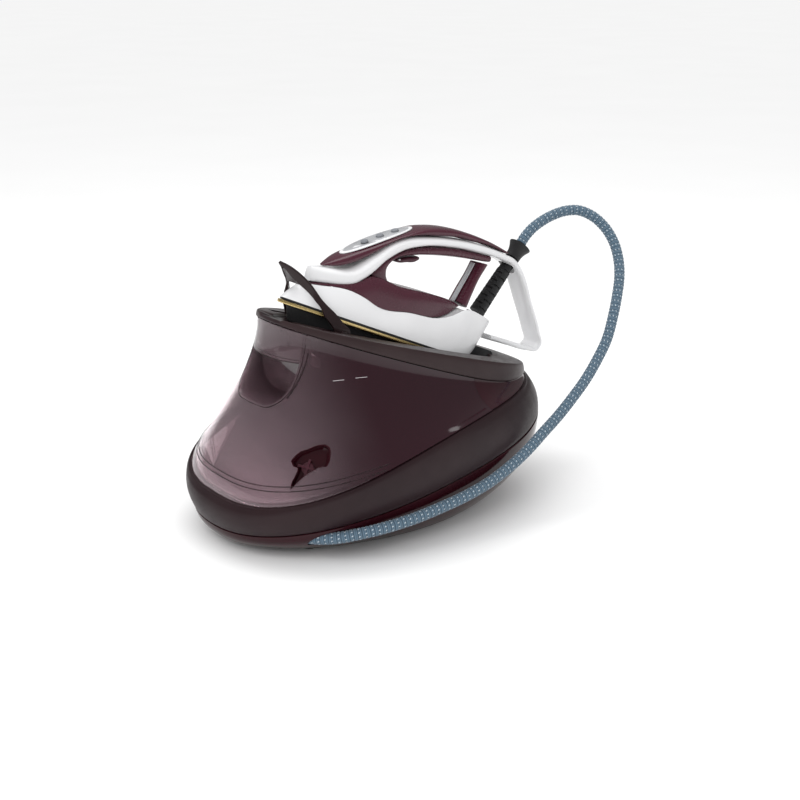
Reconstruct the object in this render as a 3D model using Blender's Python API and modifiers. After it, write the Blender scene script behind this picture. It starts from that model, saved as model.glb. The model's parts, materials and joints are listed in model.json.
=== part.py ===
"""Steam generator iron: a pressurised base with a slide-out water tank, and the iron locked on top.

Lengths are in millimetres until a mesh is made. The station frame has X from the toe to the heel,
Y across and Z up from the table. The iron has its own frame: U along the soleplate from its tip,
V across and W up from the soleplate's underside.
"""
import math
from typing import NamedTuple

import bmesh
import bpy
from mathutils import Matrix, Vector

MM = 0.001
GAP = 0.3
STATION_SHIFT = -19.0            # puts the middle of the object's length over the origin

# Heights of the base's edges, which run along planes that rise or fall towards the heel
FOOT_HEIGHT = 5.0
CASING_TOP, CASING_SLOPE = 63.0, 0.182
BAND_TOP, BAND_SLOPE, BAND_REAR = 118.0, 0.298, 128.0
RIM_LOW, RIM_SLOPE, RIM_REAR = 180.0, -0.388, 131.5
REST_TOP, REST_SLOPE = 196.5, -0.31
WELL_REAR_FLOOR = 133.6

WALL = 3.0
TANK_WALL = 2.5
TANK_BACK = 68.0                 # where the tank ends and the rear cover begins
TANK_CLEARANCE = 0.8             # over the tray
RIM_CLEARANCE = 1.1              # under the iron's rest

# The iron's place on its rest, and the way it lifts off
TIP_X, TIP_Z = -117.5, 249.2
IRON_TILT = math.radians(24.4)

HOOP_PIVOT = Vector((-70.0, 0.0, 216.0))
HOOP_THICKNESS = 3.4
HOOP_PIN_RADIUS = 1.8
# One side of the lock hoop from its foot to its peak: the strap's front edge and rear edge
HOOP_SIDE = [((-79, 46.5, 216.2), (-62, 50, 212.2)), ((-81.5, 46, 226.6), (-62.5, 49.5, 221)),
             ((-84.3, 43, 232.3), (-67.4, 47.5, 226.6)), ((-87.1, 40, 237.4), (-71.8, 45, 233.3)),
             ((-87.9, 36, 244.1), (-75.9, 42, 239.7)), ((-89.9, 32, 250), (-80.5, 37.5, 246)),
             ((-91.7, 27.5, 253.6), (-84.5, 32.5, 252.5)), ((-94, 22, 258.1), (-89, 28, 260)),
             ((-95.8, 17.5, 261.7), (-93.6, 23.5, 267.8)), ((-98.9, 13, 266), (-99, 18.3, 275.5)),
             ((-105.7, 7, 274.9), (-104.6, 13, 282.2)), ((-111, 3, 283.5), (-110, 6.5, 287.4)),
             ((-113.5, 0, 286), (-116, 0, 290.6))]

FLAP_HINGE = Vector((-117.0, 0.0, 195.6))
GRIP_HALF_WIDTH = 45.5
GRIP_BOTTOM, GRIP_TOP = 148.0, 240.0
GRIP_BACK = -110.0

HOSE_RADIUS = 6.2
HOSE_SIDES = 3
HOSE_ROUTE = [(221.7, 0, 264.5), (229, 0, 272.3), (238, -1, 280), (251, -3, 287.5), (266, -6, 293.5),
              (282, -11, 297.5), (297, -18, 297.5), (310, -28, 291), (319, -40, 279), (322, -54, 262),
              (318, -67, 243), (309, -78, 227), (296, -88, 208), (280, -98, 187), (262, -107, 165),
              (240, -114, 146), (214, -122, 129), (187, -128.5, 114), (160, -134, 100), (133, -139, 88),
              (107, -143.5, 76), (80, -147.5, 66), (50, -150.5, 57), (16, -152, 50), (-22, -151, 44.5),
              (-58, -148, 40), (-88, -141.5, 36.5), (-113, -130.5, 32.5), (-131, -117.5, 28.5),
              (-144, -102.5, 26), (-152, -87.5, 25), (-156, -73, 25)]
HOSE_SPLIT = (240, -114, 146)    # above here the hose follows the iron, below here the base

PARTS = "steam_generator_iron"
CUTTERS = "cutters"

# Colour, roughness and metallic value of every material
FINISHES = {
    "dark_brown": ((0.045, 0.028, 0.030), 0.38, 0.0),
    "burgundy_gloss": ((0.060, 0.012, 0.020), 0.12, 0.0),
    "burgundy_satin": ((0.105, 0.025, 0.040), 0.30, 0.0),
    "tank_clear": ((0.22, 0.09, 0.12), 0.08, 0.0),
    "white_gloss": ((0.82, 0.82, 0.82), 0.18, 0.0),
    "silver": ((0.62, 0.63, 0.65), 0.28, 0.7),
    "grey_button": ((0.20, 0.21, 0.23), 0.35, 0.0),
    "gold": ((0.62, 0.45, 0.16), 0.25, 1.0),
    "black_rubber": ((0.015, 0.015, 0.015), 0.65, 0.0),
    "black_plastic": ((0.020, 0.020, 0.022), 0.40, 0.0),
    "aluminium": ((0.60, 0.60, 0.60), 0.40, 1.0),
    "steel": ((0.50, 0.50, 0.52), 0.30, 1.0),
    "brass": ((0.55, 0.40, 0.15), 0.30, 1.0),
    "board_green": ((0.03, 0.16, 0.07), 0.50, 0.0),
    "hose_braid": ((0.20, 0.27, 0.34), 0.80, 0.0),
}


class Oval(NamedTuple):
    """An egg-shaped outline: a superellipse whose front and rear halves differ."""
    front: float
    rear: float
    half_width: float
    widest: float
    nose: float
    tail: float

    def point(self, angle):
        cosine, sine = math.cos(angle), math.sin(angle)
        reach = self.rear - self.widest if cosine > 0 else self.widest - self.front
        power = 2 / (self.tail if cosine > 0 else self.nose)
        x = self.widest + math.copysign(abs(cosine) ** power, cosine) * reach
        y = math.copysign(abs(sine) ** power, sine) * self.half_width
        return x, y

    def inset(self, distance):
        return Oval(self.front + distance, self.rear - distance, self.half_width - distance,
                    self.widest, self.nose, self.tail)


CASING_FOOT = Oval(-194, 161, 112, -10, 1.94, 1.94)
CASING_EDGE = Oval(-209, 201, 142, 0, 2.25, 2.5)
BAND_EDGE = Oval(-206.5, 200, 144, -22, 2.6, 2.02)
RIM_EDGE = Oval(-130, 195, 99, 63, 2.4, 2.39)
TANK_FOOT = BAND_EDGE.inset(4.0)
TANK_RIM = RIM_EDGE.inset(1.5)
BEAM_EDGE = Oval(-103, 195, 91, 63, 2.4, 2.39)
WELL_EDGE = Oval(-121, 146, 62, 40, 1.9, 4.0)
SOLE_EDGE = Oval(0, 262, 50, 150, 1.75, 3.2)
HEATER_EDGE = Oval(34, 246, 36, 150, 1.8, 3.0)
BODY_EDGE = Oval(19, 288, 36, 150, 1.9, 2.6)
COVER_EDGE = Oval(24, 221, 33, 140, 1.9, 2.6)


def blend(start, end, amount):
    return start + (end - start) * amount


def flare(amount):
    """How far the tank's skin has drawn in at a share of its height."""
    return (amount * amount * (3 - 2 * amount) + math.sin(amount * math.pi / 2)) / 2


def soft_limit(value, limit, side, softness=10.0):
    """value, held smoothly below the limit (side 1) or above it (side -1)."""
    return value - side * softness * math.log1p(math.exp(side * (value - limit) / softness))


def curve_at(knots, position):
    """Height of an outline given as (position, height) pairs, eased between them."""
    for (left, low), (right, high) in zip(knots, knots[1:]):
        if position <= right:
            share = max(0.0, (position - left) / (right - left))
            return blend(low, high, share)
    return knots[-1][1]


def casing_height(x):
    return CASING_TOP + CASING_SLOPE * x


def band_height(x):
    return soft_limit(BAND_TOP + BAND_SLOPE * x, BAND_REAR, 1)


def rim_height(x):
    return soft_limit(RIM_LOW + RIM_SLOPE * x, RIM_REAR, -1)


def rest_height(x):
    return REST_TOP + REST_SLOPE * x


def sole_height(x):
    return TIP_Z - math.tan(IRON_TILT) * (x - TIP_X)


def beam_depth(x):
    return 20 - 6 * min(1.0, max(0.0, (x + 20) / 88))


def angles(count):
    return [2 * math.pi * i / count for i in range(count)]


# ---------------------------------------------------------------- meshes and objects

def collection(name):
    found = bpy.data.collections.get(name)
    if not found:
        found = bpy.data.collections.new(name)
        bpy.context.scene.collection.children.link(found)
    return found


def finish_of(name):
    material = bpy.data.materials.get(name)
    if material:
        return material
    colour, roughness, metallic = FINISHES[name]
    material = bpy.data.materials.new(name)
    material.use_nodes = True
    shader = material.node_tree.nodes["Principled BSDF"]
    shader.inputs["Base Color"].default_value = (*colour, 1)
    shader.inputs["Roughness"].default_value = roughness
    shader.inputs["Metallic"].default_value = metallic
    return material


def add_object(name, data, finish, frame, origin=(0, 0, 0)):
    """Links an object to the parts, or to the cutters when it has no finish."""
    piece = bpy.data.objects.new(name, data)
    collection(PARTS if finish else CUTTERS).objects.link(piece)
    if finish:
        data.materials.append(finish_of(finish))
    else:
        piece.hide_render = True
        piece.display_type = "WIRE"
    piece.parent = frame
    piece.location = Vector(origin) * MM
    return piece


def mesh_object(name, bm, finish, frame, origin=(0, 0, 0)):
    """Turns millimetre geometry into an object whose origin is at the given point."""
    bm.transform(Matrix.Scale(MM, 4) @ Matrix.Translation(-Vector(origin)))
    bmesh.ops.recalc_face_normals(bm, faces=bm.faces)
    if bm.calc_volume(signed=True) < 0:
        bmesh.ops.reverse_faces(bm, faces=bm.faces)
    mesh = bpy.data.meshes.new(name)
    bm.to_mesh(mesh)
    bm.free()
    mesh.shade_smooth()
    mesh.set_sharp_from_angle(angle=math.radians(35))
    return add_object(name, mesh, finish, frame, origin)


def skin(name, loops, finish, frame, origin=(0, 0, 0), start=None, end=None, ring=False):
    """Covers a row of equal-sized loops. Each end closes on a point, or else with one flat face;
    a ring joins its last loop to its first."""
    bm = bmesh.new()
    rows = [[bm.verts.new(point) for point in loop] for loop in loops]
    count = len(rows[0])
    pairs = list(zip(rows, rows[1:])) + ([(rows[-1], rows[0])] if ring else [])
    for low, high in pairs:
        for i in range(count):
            j = (i + 1) % count
            bm.faces.new((low[i], low[j], high[j], high[i]))
    if not ring:
        for row, tip in ((rows[0], start), (rows[-1], end)):
            if tip is None:
                bm.faces.new(row)
                continue
            centre = bm.verts.new(tip)
            for i in range(count):
                bm.faces.new((row[i], row[(i + 1) % count], centre))
    return mesh_object(name, bm, finish, frame, origin)


def box(name, size, centre, finish, frame, turn=None, bevel=0.0):
    bm = bmesh.new()
    bmesh.ops.create_cube(bm, size=1)
    matrix = Matrix.Translation(centre) @ (turn or Matrix()) @ Matrix.Diagonal((*size, 1))
    bm.transform(matrix)
    piece = mesh_object(name, bm, finish, frame)
    if bevel:
        rounding = piece.modifiers.new("rounding", "BEVEL")
        rounding.width = bevel * MM
        rounding.segments = 2
    return piece


def rod(name, radius, start, end, finish, frame, sides=16, end_radius=None, origin=(0, 0, 0)):
    """A cylinder or a cone from one point to another."""
    start, end = Vector(start), Vector(end)
    bm = bmesh.new()
    bmesh.ops.create_cone(bm, cap_ends=True, segments=sides, radius1=radius,
                          radius2=radius if end_radius is None else end_radius,
                          depth=(end - start).length)
    turn = Vector((0, 0, 1)).rotation_difference(end - start).to_matrix().to_4x4()
    bm.transform(Matrix.Translation((start + end) / 2) @ turn)
    return mesh_object(name, bm, finish, frame, origin)


def turned(name, profile, finish, frame, centre, direction, steps=24):
    """Turns a profile of (radius, height) pairs about a line. It starts and ends on the axis."""
    bm = bmesh.new()
    points = [bm.verts.new((radius * MM, 0, height * MM)) for radius, height in profile]
    for first, second in zip(points, points[1:]):
        bm.edges.new((first, second))
    mesh = bpy.data.meshes.new(name)
    bm.to_mesh(mesh)
    bm.free()
    piece = add_object(name, mesh, finish, frame, centre)
    piece.rotation_mode = "QUATERNION"
    piece.rotation_quaternion = Vector((0, 0, 1)).rotation_difference(Vector(direction))
    screw = piece.modifiers.new("turn", "SCREW")
    screw.steps = steps
    screw.render_steps = steps
    screw.use_merge_vertices = True
    screw.merge_threshold = 0.00001
    return piece


def smooth_route(points, spacing):
    """Points about a spacing apart along a smooth curve through the given ones."""
    knots = [Vector(p) for p in points]
    knots = [2 * knots[0] - knots[1]] + knots + [2 * knots[-1] - knots[-2]]
    route = []
    for before, here, there, after in zip(knots, knots[1:], knots[2:], knots[3:]):
        steps = max(1, round((there - here).length / spacing))
        for i in range(steps):
            t = i / steps
            route.append(0.5 * (2 * here + (there - before) * t
                                + (2 * before - 5 * here + 4 * there - after) * t ** 2
                                + (3 * here - before - 3 * there + after) * t ** 3))
    return route + [knots[-2]]


def tube(name, points, radius, finish, frame, resolution=2):
    data = bpy.data.curves.new(name, "CURVE")
    data.dimensions = "3D"
    data.bevel_depth = radius * MM
    data.bevel_resolution = resolution
    data.use_fill_caps = True
    spline = data.splines.new("POLY")
    spline.points.add(len(points) - 1)
    for knot, point in zip(spline.points, points):
        knot.co = (*(Vector(point) * MM), 1)
    return add_object(name, data, finish, frame)


def tube_mesh(name, points, radius, sides, frame):
    """A closed mesh tube for cutting, swept along the points."""
    loops = []
    for i, point in enumerate(points):
        ahead = Vector(points[min(i + 1, len(points) - 1)]) - Vector(points[max(i - 1, 0)])
        across = ahead.cross(Vector((0, 0, 1))).normalized()
        lift = across.cross(ahead).normalized()
        loops.append([Vector(point) + radius * (across * math.cos(a) + lift * math.sin(a))
                      for a in angles(sides)])
    return skin(name, loops, None, frame)


def trim(piece, cutter, operation="DIFFERENCE"):
    boolean = piece.modifiers.new(cutter.name, "BOOLEAN")
    boolean.object = cutter
    boolean.operation = operation
    boolean.solver = "EXACT"


def oval_loop(oval, height, count=48):
    """The outline as a loop; height is a number or a function of the lengthwise position."""
    points = [oval.point(a) for a in angles(count)]
    return [(x, y, height(x) if callable(height) else height) for x, y in points]


def shrink(loop, share, centre, height):
    """The loop drawn in towards a centre line, at a height given along it."""
    points = [(blend(x, centre, share), y * (1 - share)) for x, y, _ in loop]
    return [(x, y, height(x)) for x, y in points]


def inset_loop(loop, distance):
    """The loop moved sideways into its own inside, in plan."""
    area = sum(a[0] * b[1] - b[0] * a[1] for a, b in zip(loop, loop[1:] + loop[:1]))
    side = math.copysign(distance, area)
    moved = []
    for before, here, after in zip(loop[-1:] + loop[:-1], loop, loop[1:] + loop[:1]):
        first = Vector((here[0] - before[0], here[1] - before[1])).normalized()
        second = Vector((after[0] - here[0], after[1] - here[1])).normalized()
        miter = Vector((-first.y - second.y, first.x + second.x)).normalized()
        stretch = min(2.0, 1 / max(0.3, miter.dot(Vector((-first.y, first.x)))))
        moved.append((here[0] + side * stretch * miter.x, here[1] + side * stretch * miter.y, here[2]))
    return moved


def lowered(loop, drop):
    return [(x, y, z - drop) for x, y, z in loop]


# ---------------------------------------------------------------- the base

def casing_loop(rise, inset=0.0):
    """A level of the lower casing, which swells quickly from its foot and then rises upright."""
    foot, edge = CASING_FOOT.inset(inset), CASING_EDGE.inset(inset)
    swell = 1 - (1 - rise) ** 2.2
    loop = []
    for a in angles(48):
        (x0, y0), (x1, y1) = foot.point(a), edge.point(a)
        x = blend(x0, x1, swell)
        loop.append((x, blend(y0, y1, swell), blend(FOOT_HEIGHT, casing_height(x), rise)))
    return loop


def make_lower_casing(frame):
    levels = [0.0, 0.14, 0.32, 0.55, 0.8, 0.99]
    inner = [lowered(casing_loop(t, WALL), -WALL if t == 0 else 0) for t in levels]
    outer = [casing_loop(t) for t in reversed(levels)]
    under = inset_loop(outer[-1], 6)
    casing = skin("lower_casing", inner + outer + [lowered(under, 0.0)], "burgundy_gloss", frame,
                  start=(-10, 0, FOOT_HEIGHT + WALL), end=(-10, 0, FOOT_HEIGHT))
    slot = tube_mesh("hose_slot", smooth_route(HOSE_ROUTE[-6:], 8), HOSE_RADIUS + 1.0, 16, frame)
    trim(casing, slot)
    return slot


def band_loop(rise, inset=0.0):
    """A level of the dark band, which bulges a little between its two edges."""
    loop = []
    for a in angles(48):
        (x0, y0), (x1, y1) = CASING_EDGE.inset(inset).point(a), BAND_EDGE.inset(inset).point(a)
        bulge = 1 + 0.022 * math.sin(math.pi * rise)
        x = blend(x0, x1, rise)
        loop.append((x * bulge, blend(y0, y1, rise) * bulge,
                     blend(casing_height(x0) + GAP, band_height(x1), rise)))
    return loop


def make_band_housing(frame, slot):
    def tray(x):
        return band_height(x) - 0.2

    edge = oval_loop(BAND_EDGE.inset(1.8), band_height)
    under = oval_loop(BAND_EDGE.inset(WALL + 2), lambda x: band_height(x) - WALL)
    top = [shrink(edge, s, -5, tray) for s in (0.7, 0.4, 0.08)] + [edge]
    outer = [lowered(band_loop(1.0), 2.0)] + [band_loop(t) for t in (0.75, 0.5, 0.25, 0.0)]
    inner = [band_loop(t, WALL) for t in (0.0, 0.25, 0.5, 0.75)] + [under]
    inner += [shrink(under, s, -5, lambda x: band_height(x) - WALL) for s in (0.4, 0.7)]
    band = skin("band_housing", top + outer + inner, "dark_brown", frame,
                start=(-5, 0, tray(-5)), end=(-5, 0, band_height(-5) - WALL))
    trim(band, slot)
    hole = rod("power_button_hole", 11.5, (180, 0, 114), (220, 0, 114), None, frame)
    trim(band, hole)
    inlet = rod("mains_inlet_hole", 8.3, (180, 52, 112), (220, 62, 112), None, frame)
    trim(band, inlet)


def make_feet(frame):
    places = {"front_left": (-128, 62), "front_right": (-128, -62), "rear_left": (98, 62), "rear_right": (98, -62)}
    for name, (x, y) in places.items():
        rod("foot_" + name, 11, (x, y, 0), (x, y, FOOT_HEIGHT - GAP), "black_rubber", frame,
            sides=20, end_radius=13)
        screw_x = x + math.copysign(22, -x)
        rod("base_screw_" + name, 3.5, (screw_x, y * 0.9, FOOT_HEIGHT - 2.5),
            (screw_x, y * 0.9, FOOT_HEIGHT - GAP), "steel", frame, sides=12)


def flank(angle, rise):
    """A point of the skin that the tank and the rear cover share, from the tray to the rest."""
    (x0, y0), (x1, y1) = TANK_FOOT.point(angle), TANK_RIM.point(angle)
    swell = flare(rise)
    return (blend(x0, x1, swell), blend(y0, y1, swell),
            blend(band_height(x0) + TANK_CLEARANCE, rim_height(x1) - RIM_CLEARANCE, rise))


def split_angle(rise, x):
    low, high = 0.0, math.pi
    for _ in range(40):
        middle = (low + high) / 2
        if flank(middle, rise)[0] > x:
            low = middle
        else:
            high = middle
    return low


def split_loop(rise, x, front, wall_top, inset=0.0, skin_points=46, wall_points=8):
    """The skin's part before (or behind) a cross plane at x, closed by a flat wall there."""
    corner = split_angle(rise, x)
    start, end = (corner, 2 * math.pi - corner) if front else (corner, -corner)
    curve = [flank(blend(start, end, i / (skin_points - 1)), rise) for i in range(skin_points)]
    first, last = curve[0], curve[-1]
    floor = band_height(x) + TANK_CLEARANCE
    height = blend(floor, wall_top, rise)
    across = [0.024] + [(i + 1) / (wall_points - 1) for i in range(wall_points - 2)] + [0.976]
    wall = [(x, blend(last[1], first[1], share), height) for share in across]
    return inset_loop(curve + wall, inset) if inset else curve + wall


def grip_outline(half_width, bottom, corner, top=GRIP_TOP):
    """A U shape across the tank's front, as (across, height) pairs."""
    points = [(half_width, top)]
    for i in range(7):
        a = math.radians(-15 * i)
        points.append((half_width - corner + corner * math.cos(a), bottom + corner + corner * math.sin(a)))
    return points + [(-y, z) for y, z in reversed(points)]


def prism_x(name, outline, start, end, finish, frame):
    """An outline of (across, height) pairs pushed along the object's length."""
    loops = [[(x, y, z) for y, z in outline] for x in (start, end)]
    return skin(name, loops, finish, frame)


def tank_shell(name, finish, frame):
    back_top = rim_height(TANK_BACK) - beam_depth(TANK_BACK) - 1.5
    levels = [0.0, 0.05, 0.2, 0.35, 0.5, 0.65, 0.8, 0.92, 1.0]
    outer = [split_loop(t, TANK_BACK, True, back_top) for t in levels]
    inner = [split_loop(t, TANK_BACK, True, back_top, TANK_WALL) for t in levels]
    inner[0] = lowered(inset_loop(inner[0], 3), -TANK_WALL)
    inner[1] = lowered(inner[1], -TANK_WALL * 0.5)
    middle = -60

    def floor(x):
        return band_height(x) + TANK_CLEARANCE

    def inner_floor(x):
        return floor(x) + TANK_WALL

    under = [shrink(outer[0], s, middle, floor) for s in (0.03, 0.3, 0.55, 0.8)]
    bed = [shrink(inner[0], s, middle, inner_floor) for s in (0.8, 0.55, 0.3)]
    return skin(name, bed + inner + outer[::-1] + under, finish, frame,
                start=(middle, 0, inner_floor(middle)), end=(middle, 0, floor(middle)))


def make_tank(frame):
    tank = tank_shell("water_tank", "tank_clear", frame)
    window = prism_x("grip_window", grip_outline(GRIP_HALF_WIDTH + GAP, GRIP_BOTTOM - GAP, 26),
                     -260, GRIP_BACK + GAP, None, frame)
    trim(tank, window)

    solid_loops = [split_loop(t, TANK_BACK, True, 140) for t in (0.0, 0.2, 0.35, 0.5, 0.65, 0.8, 0.92, 1.0)]
    outside = skin("tank_outside", solid_loops, None, frame)
    pocket = prism_x("grip_pocket", grip_outline(GRIP_HALF_WIDTH, GRIP_BOTTOM, 26, 227), -200, GRIP_BACK,
                     "tank_clear", frame)
    trim(pocket, outside, "INTERSECT")
    hollow = prism_x("grip_hollow", grip_outline(GRIP_HALF_WIDTH - 2, GRIP_BOTTOM + 2, 24), -260,
                     GRIP_BACK - 2.2, None, frame)
    trim(pocket, hollow)
    mouth = rod("filler_hole", 12, (GRIP_BACK - 15, 0, 208), (GRIP_BACK + 10, 0, 208), None, frame, sides=20)
    trim(pocket, mouth)

    for side, name in ((1, "left"), (-1, "right")):
        rod("flap_pin_" + name, 1.3, (FLAP_HINGE.x, side * 37.5, FLAP_HINGE.z),
            (FLAP_HINGE.x, side * (GRIP_HALF_WIDTH - 2 - GAP), FLAP_HINGE.z), "steel", frame, sides=10)
    make_flap(frame)
    make_tank_lid(frame)
    make_tank_valve(frame)


def make_flap(frame):
    """The filler flap is a piece of the tank's own front wall, hinged along its lower edge."""
    half_width = GRIP_HALF_WIDTH - 2.4
    low = FLAP_HINGE.z - 1.6
    loops = []
    for x in (-140, -114.6):
        high = rim_height(x) - 1.6
        loops.append([(x, half_width, high), (x, half_width, low), (x, -half_width, low), (x, -half_width, high)])
    flap = skin("filler_flap", loops, "tank_clear", frame, origin=FLAP_HINGE)
    wall = tank_shell("flap_wall", None, frame)
    trim(flap, wall, "INTERSECT")
    bores = rod("flap_bore", 1.9, (FLAP_HINGE.x, -60, FLAP_HINGE.z), (FLAP_HINGE.x, 60, FLAP_HINGE.z),
                None, frame, sides=10)
    trim(flap, bores)


def rise_at(angle, drop):
    """How far up the skin a point lies that is a drop below the rest's edge."""
    low, high = 0.0, 1.0
    for _ in range(30):
        middle = (low + high) / 2
        x, _, z = flank(angle, middle)
        if z < rim_height(x) - beam_depth(x) - drop:
            low = middle
        else:
            high = middle
    return low


def make_tank_lid(frame):
    """The plate that closes the tank under the beam."""
    def under_beam(drop):
        return lambda x: rim_height(x) - beam_depth(x) - drop

    corner = split_angle(0.8, TANK_BACK - 6)
    plan = []
    for i in range(41):
        a = blend(corner, 2 * math.pi - corner, i / 40)
        x, y, _ = flank(a, rise_at(a, 2.2))
        plan.append((x, y, 0))
    plan = inset_loop(plan, TANK_WALL + 2.0)
    middle = -15
    shares = (0.0, 0.2, 0.4, 0.6, 0.8)
    under = [shrink(plan, s, middle, under_beam(4.2)) for s in shares[::-1]]
    over = [shrink(plan, s, middle, under_beam(2.2)) for s in shares]
    lid = skin("tank_lid", under + over, "tank_clear", frame, start=(middle, 0, under_beam(4.2)(middle)),
               end=(middle, 0, under_beam(2.2)(middle)))
    notch = prism_x("lid_notch", grip_outline(GRIP_HALF_WIDTH + 2, GRIP_BOTTOM - 20, 5, 260), -260,
                    GRIP_BACK + 2, None, frame)
    trim(lid, notch)


def make_tank_valve(frame):
    """The outlet valve and its strainer stand on the tank's floor, near the wall."""
    turn = Matrix.Rotation(math.radians(-38), 4, "Z")
    box("outlet_valve", (30, 9, 22), (-128, -78, 106), "black_plastic", frame, turn, 2.5)
    rod("tank_spigot", 4, (40, 0, 133.5), (TANK_BACK - TANK_WALL - 1, 0, 133.5), "black_plastic", frame)


def make_rear_cover(frame):
    front_x = TANK_BACK + 2.5
    top = rim_height(front_x) - RIM_CLEARANCE - 2.0
    levels = [0.02, 0.35, 0.7, 1.0]
    outer = [split_loop(t, front_x, False, top, 0, 40, 10) for t in levels]
    inner = [split_loop(t, front_x, False, top, WALL, 40, 10) for t in reversed(levels)]
    skin("rear_cover", outer + inner, "burgundy_satin", frame, ring=True)


def make_beam(frame):
    """The beam under the rest, as far back as the rear cover's front wall."""
    def low(x):
        return rim_height(x) - beam_depth(x)

    def high(x):
        return rim_height(x) - 2.0

    rear = TANK_BACK + 2.5 - GAP
    middle = -15
    plan = [(min(x, rear), y, 0) for x, y, _ in oval_loop(BEAM_EDGE, 0)]
    shares = (0.0, 0.2, 0.4, 0.6, 0.8)
    under = [shrink(plan, s, middle, low) for s in shares[::-1]]
    over = [shrink(plan, s, middle, high) for s in shares]
    skin("rest_beam", under + over, "burgundy_satin", frame, start=(middle, 0, low(middle)),
         end=(middle, 0, high(middle)))


def well_floor(x):
    """The floor under the hot soleplate, level again behind its heel."""
    return max(WELL_REAR_FLOOR, min(rest_height(x) - 3, sole_height(x) - 6.5))


def make_platform(frame):
    """The iron's rest: a rim round a well that holds the hot soleplate."""
    def under(x):
        return min(rim_height(x), well_floor(x) - 3)

    low = oval_loop(RIM_EDGE, rim_height)
    side = oval_loop(RIM_EDGE.inset(0.6), lambda x: blend(rim_height(x), rest_height(x), 0.6))
    top_out = oval_loop(RIM_EDGE.inset(2.6), rest_height)
    top_in = oval_loop(WELL_EDGE, rest_height)
    bottom_in = oval_loop(WELL_EDGE.inset(0.5), well_floor)
    dish = oval_loop(WELL_EDGE.inset(-4), under)
    middle = 30
    shares = (0.12, 0.25, 0.4, 0.55, 0.7, 0.85)
    below = [shrink(dish, s, middle, under) for s in shares[::-1]] + [dish]
    floor = [shrink(bottom_in, s, middle, well_floor) for s in shares]
    platform = skin("platform", below + [low, side, top_out, top_in, bottom_in] + floor, "dark_brown", frame,
                    start=(middle, 0, under(middle)), end=(middle, 0, well_floor(middle)))
    cut_hoop_slots(platform, frame)

    def pad_loop(inset, height):
        return [iron_to_station((u, v, 0), height) for u, v in
                (SOLE_EDGE.inset(inset).point(a) for a in angles(40))]

    top = pad_loop(12, 0.4)
    def bed(x):
        return well_floor(x) + 0.8

    bottom = [(x, y, bed(x)) for x, y, _ in top]
    sunk = [shrink(bottom, s, middle, bed) for s in shares[::-1]]
    skin("rest_pad", sunk + [bottom, top], "black_rubber", frame, start=(middle, 0, bed(middle)),
         end=iron_to_station(((middle - TIP_X) / math.cos(IRON_TILT), 0, 0), 0.4))
    wedge = [(130, 139), (143.3, 134.9), (143.3, 150.5), (139, 149), (130, 144.6)]
    loops = [[(x, side * (well_half_width(x) - 3.0), z) for x, z in wedge] for side in (-1, 1)]
    skin("heel_stop", loops, "black_rubber", frame)


def well_half_width(x):
    """Half the width of the well behind its widest place."""
    share = (x - WELL_EDGE.widest) / (WELL_EDGE.rear - WELL_EDGE.widest)
    return WELL_EDGE.half_width * (1 - share ** WELL_EDGE.tail) ** (1 / WELL_EDGE.tail)


# ---------------------------------------------------------------- inside the base

def make_boiler(frame):
    end = 9
    profile = [(0, -68), (20, -67), (36, -60), (42, -50), (42, 50), (36, 60), (20, 67), (0, 68)]
    turned("boiler", profile[::-1], "aluminium", frame, (72, 22, 61), (1, 0, 0))
    rod("boiler_element", 30, (4 - end, 22, 61), (4 - GAP, 22, 61), "steel", frame, sides=24)
    rod("safety_valve", 7, (72, 22, 103.5), (72, 22, 119), "brass", frame)
    rod("steam_valve", 11, (120, -36, 40), (120, -36, 78), "brass", frame)
    box("water_pump", (58, 34, 34), (-70, 52, 34), "black_plastic", frame, None, 3)
    rod("pump_motor", 14, (-70 + 29 + GAP, 52, 34), (-12, 52, 34), "steel", frame)
    box("circuit_board", (90, 2, 56), (0, -58, 46), "board_green", frame)
    box("board_bracket", (90, 8, 6), (0, -58, 14), "black_plastic", frame)


def make_connections(frame):
    rod("power_button", 10.5, (188, 0, 114), (205.5, 0, 114), "silver", frame, sides=24)
    rod("mains_inlet", 7.6, (182, 53, 112), (206, 59, 112), "black_plastic", frame, sides=16)
    end, before = Vector(HOSE_ROUTE[-1]), Vector(HOSE_ROUTE[-2])
    ahead = (end - before).normalized()
    rod("hose_gland", 9, end + ahead * GAP, end + ahead * 16, "brass", frame, sides=16)
    inside = [end + ahead * 16.8, end + ahead * 22, (-152, -36, 26), (-130, -22, 28), (-80, -18, 30),
              (0, -24, 30), (70, -35, 40), (95, -36, 44), (108.2, -36, 44)]
    tube("steam_pipe", smooth_route(inside, 12), 3.5, "steel", frame)


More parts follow.
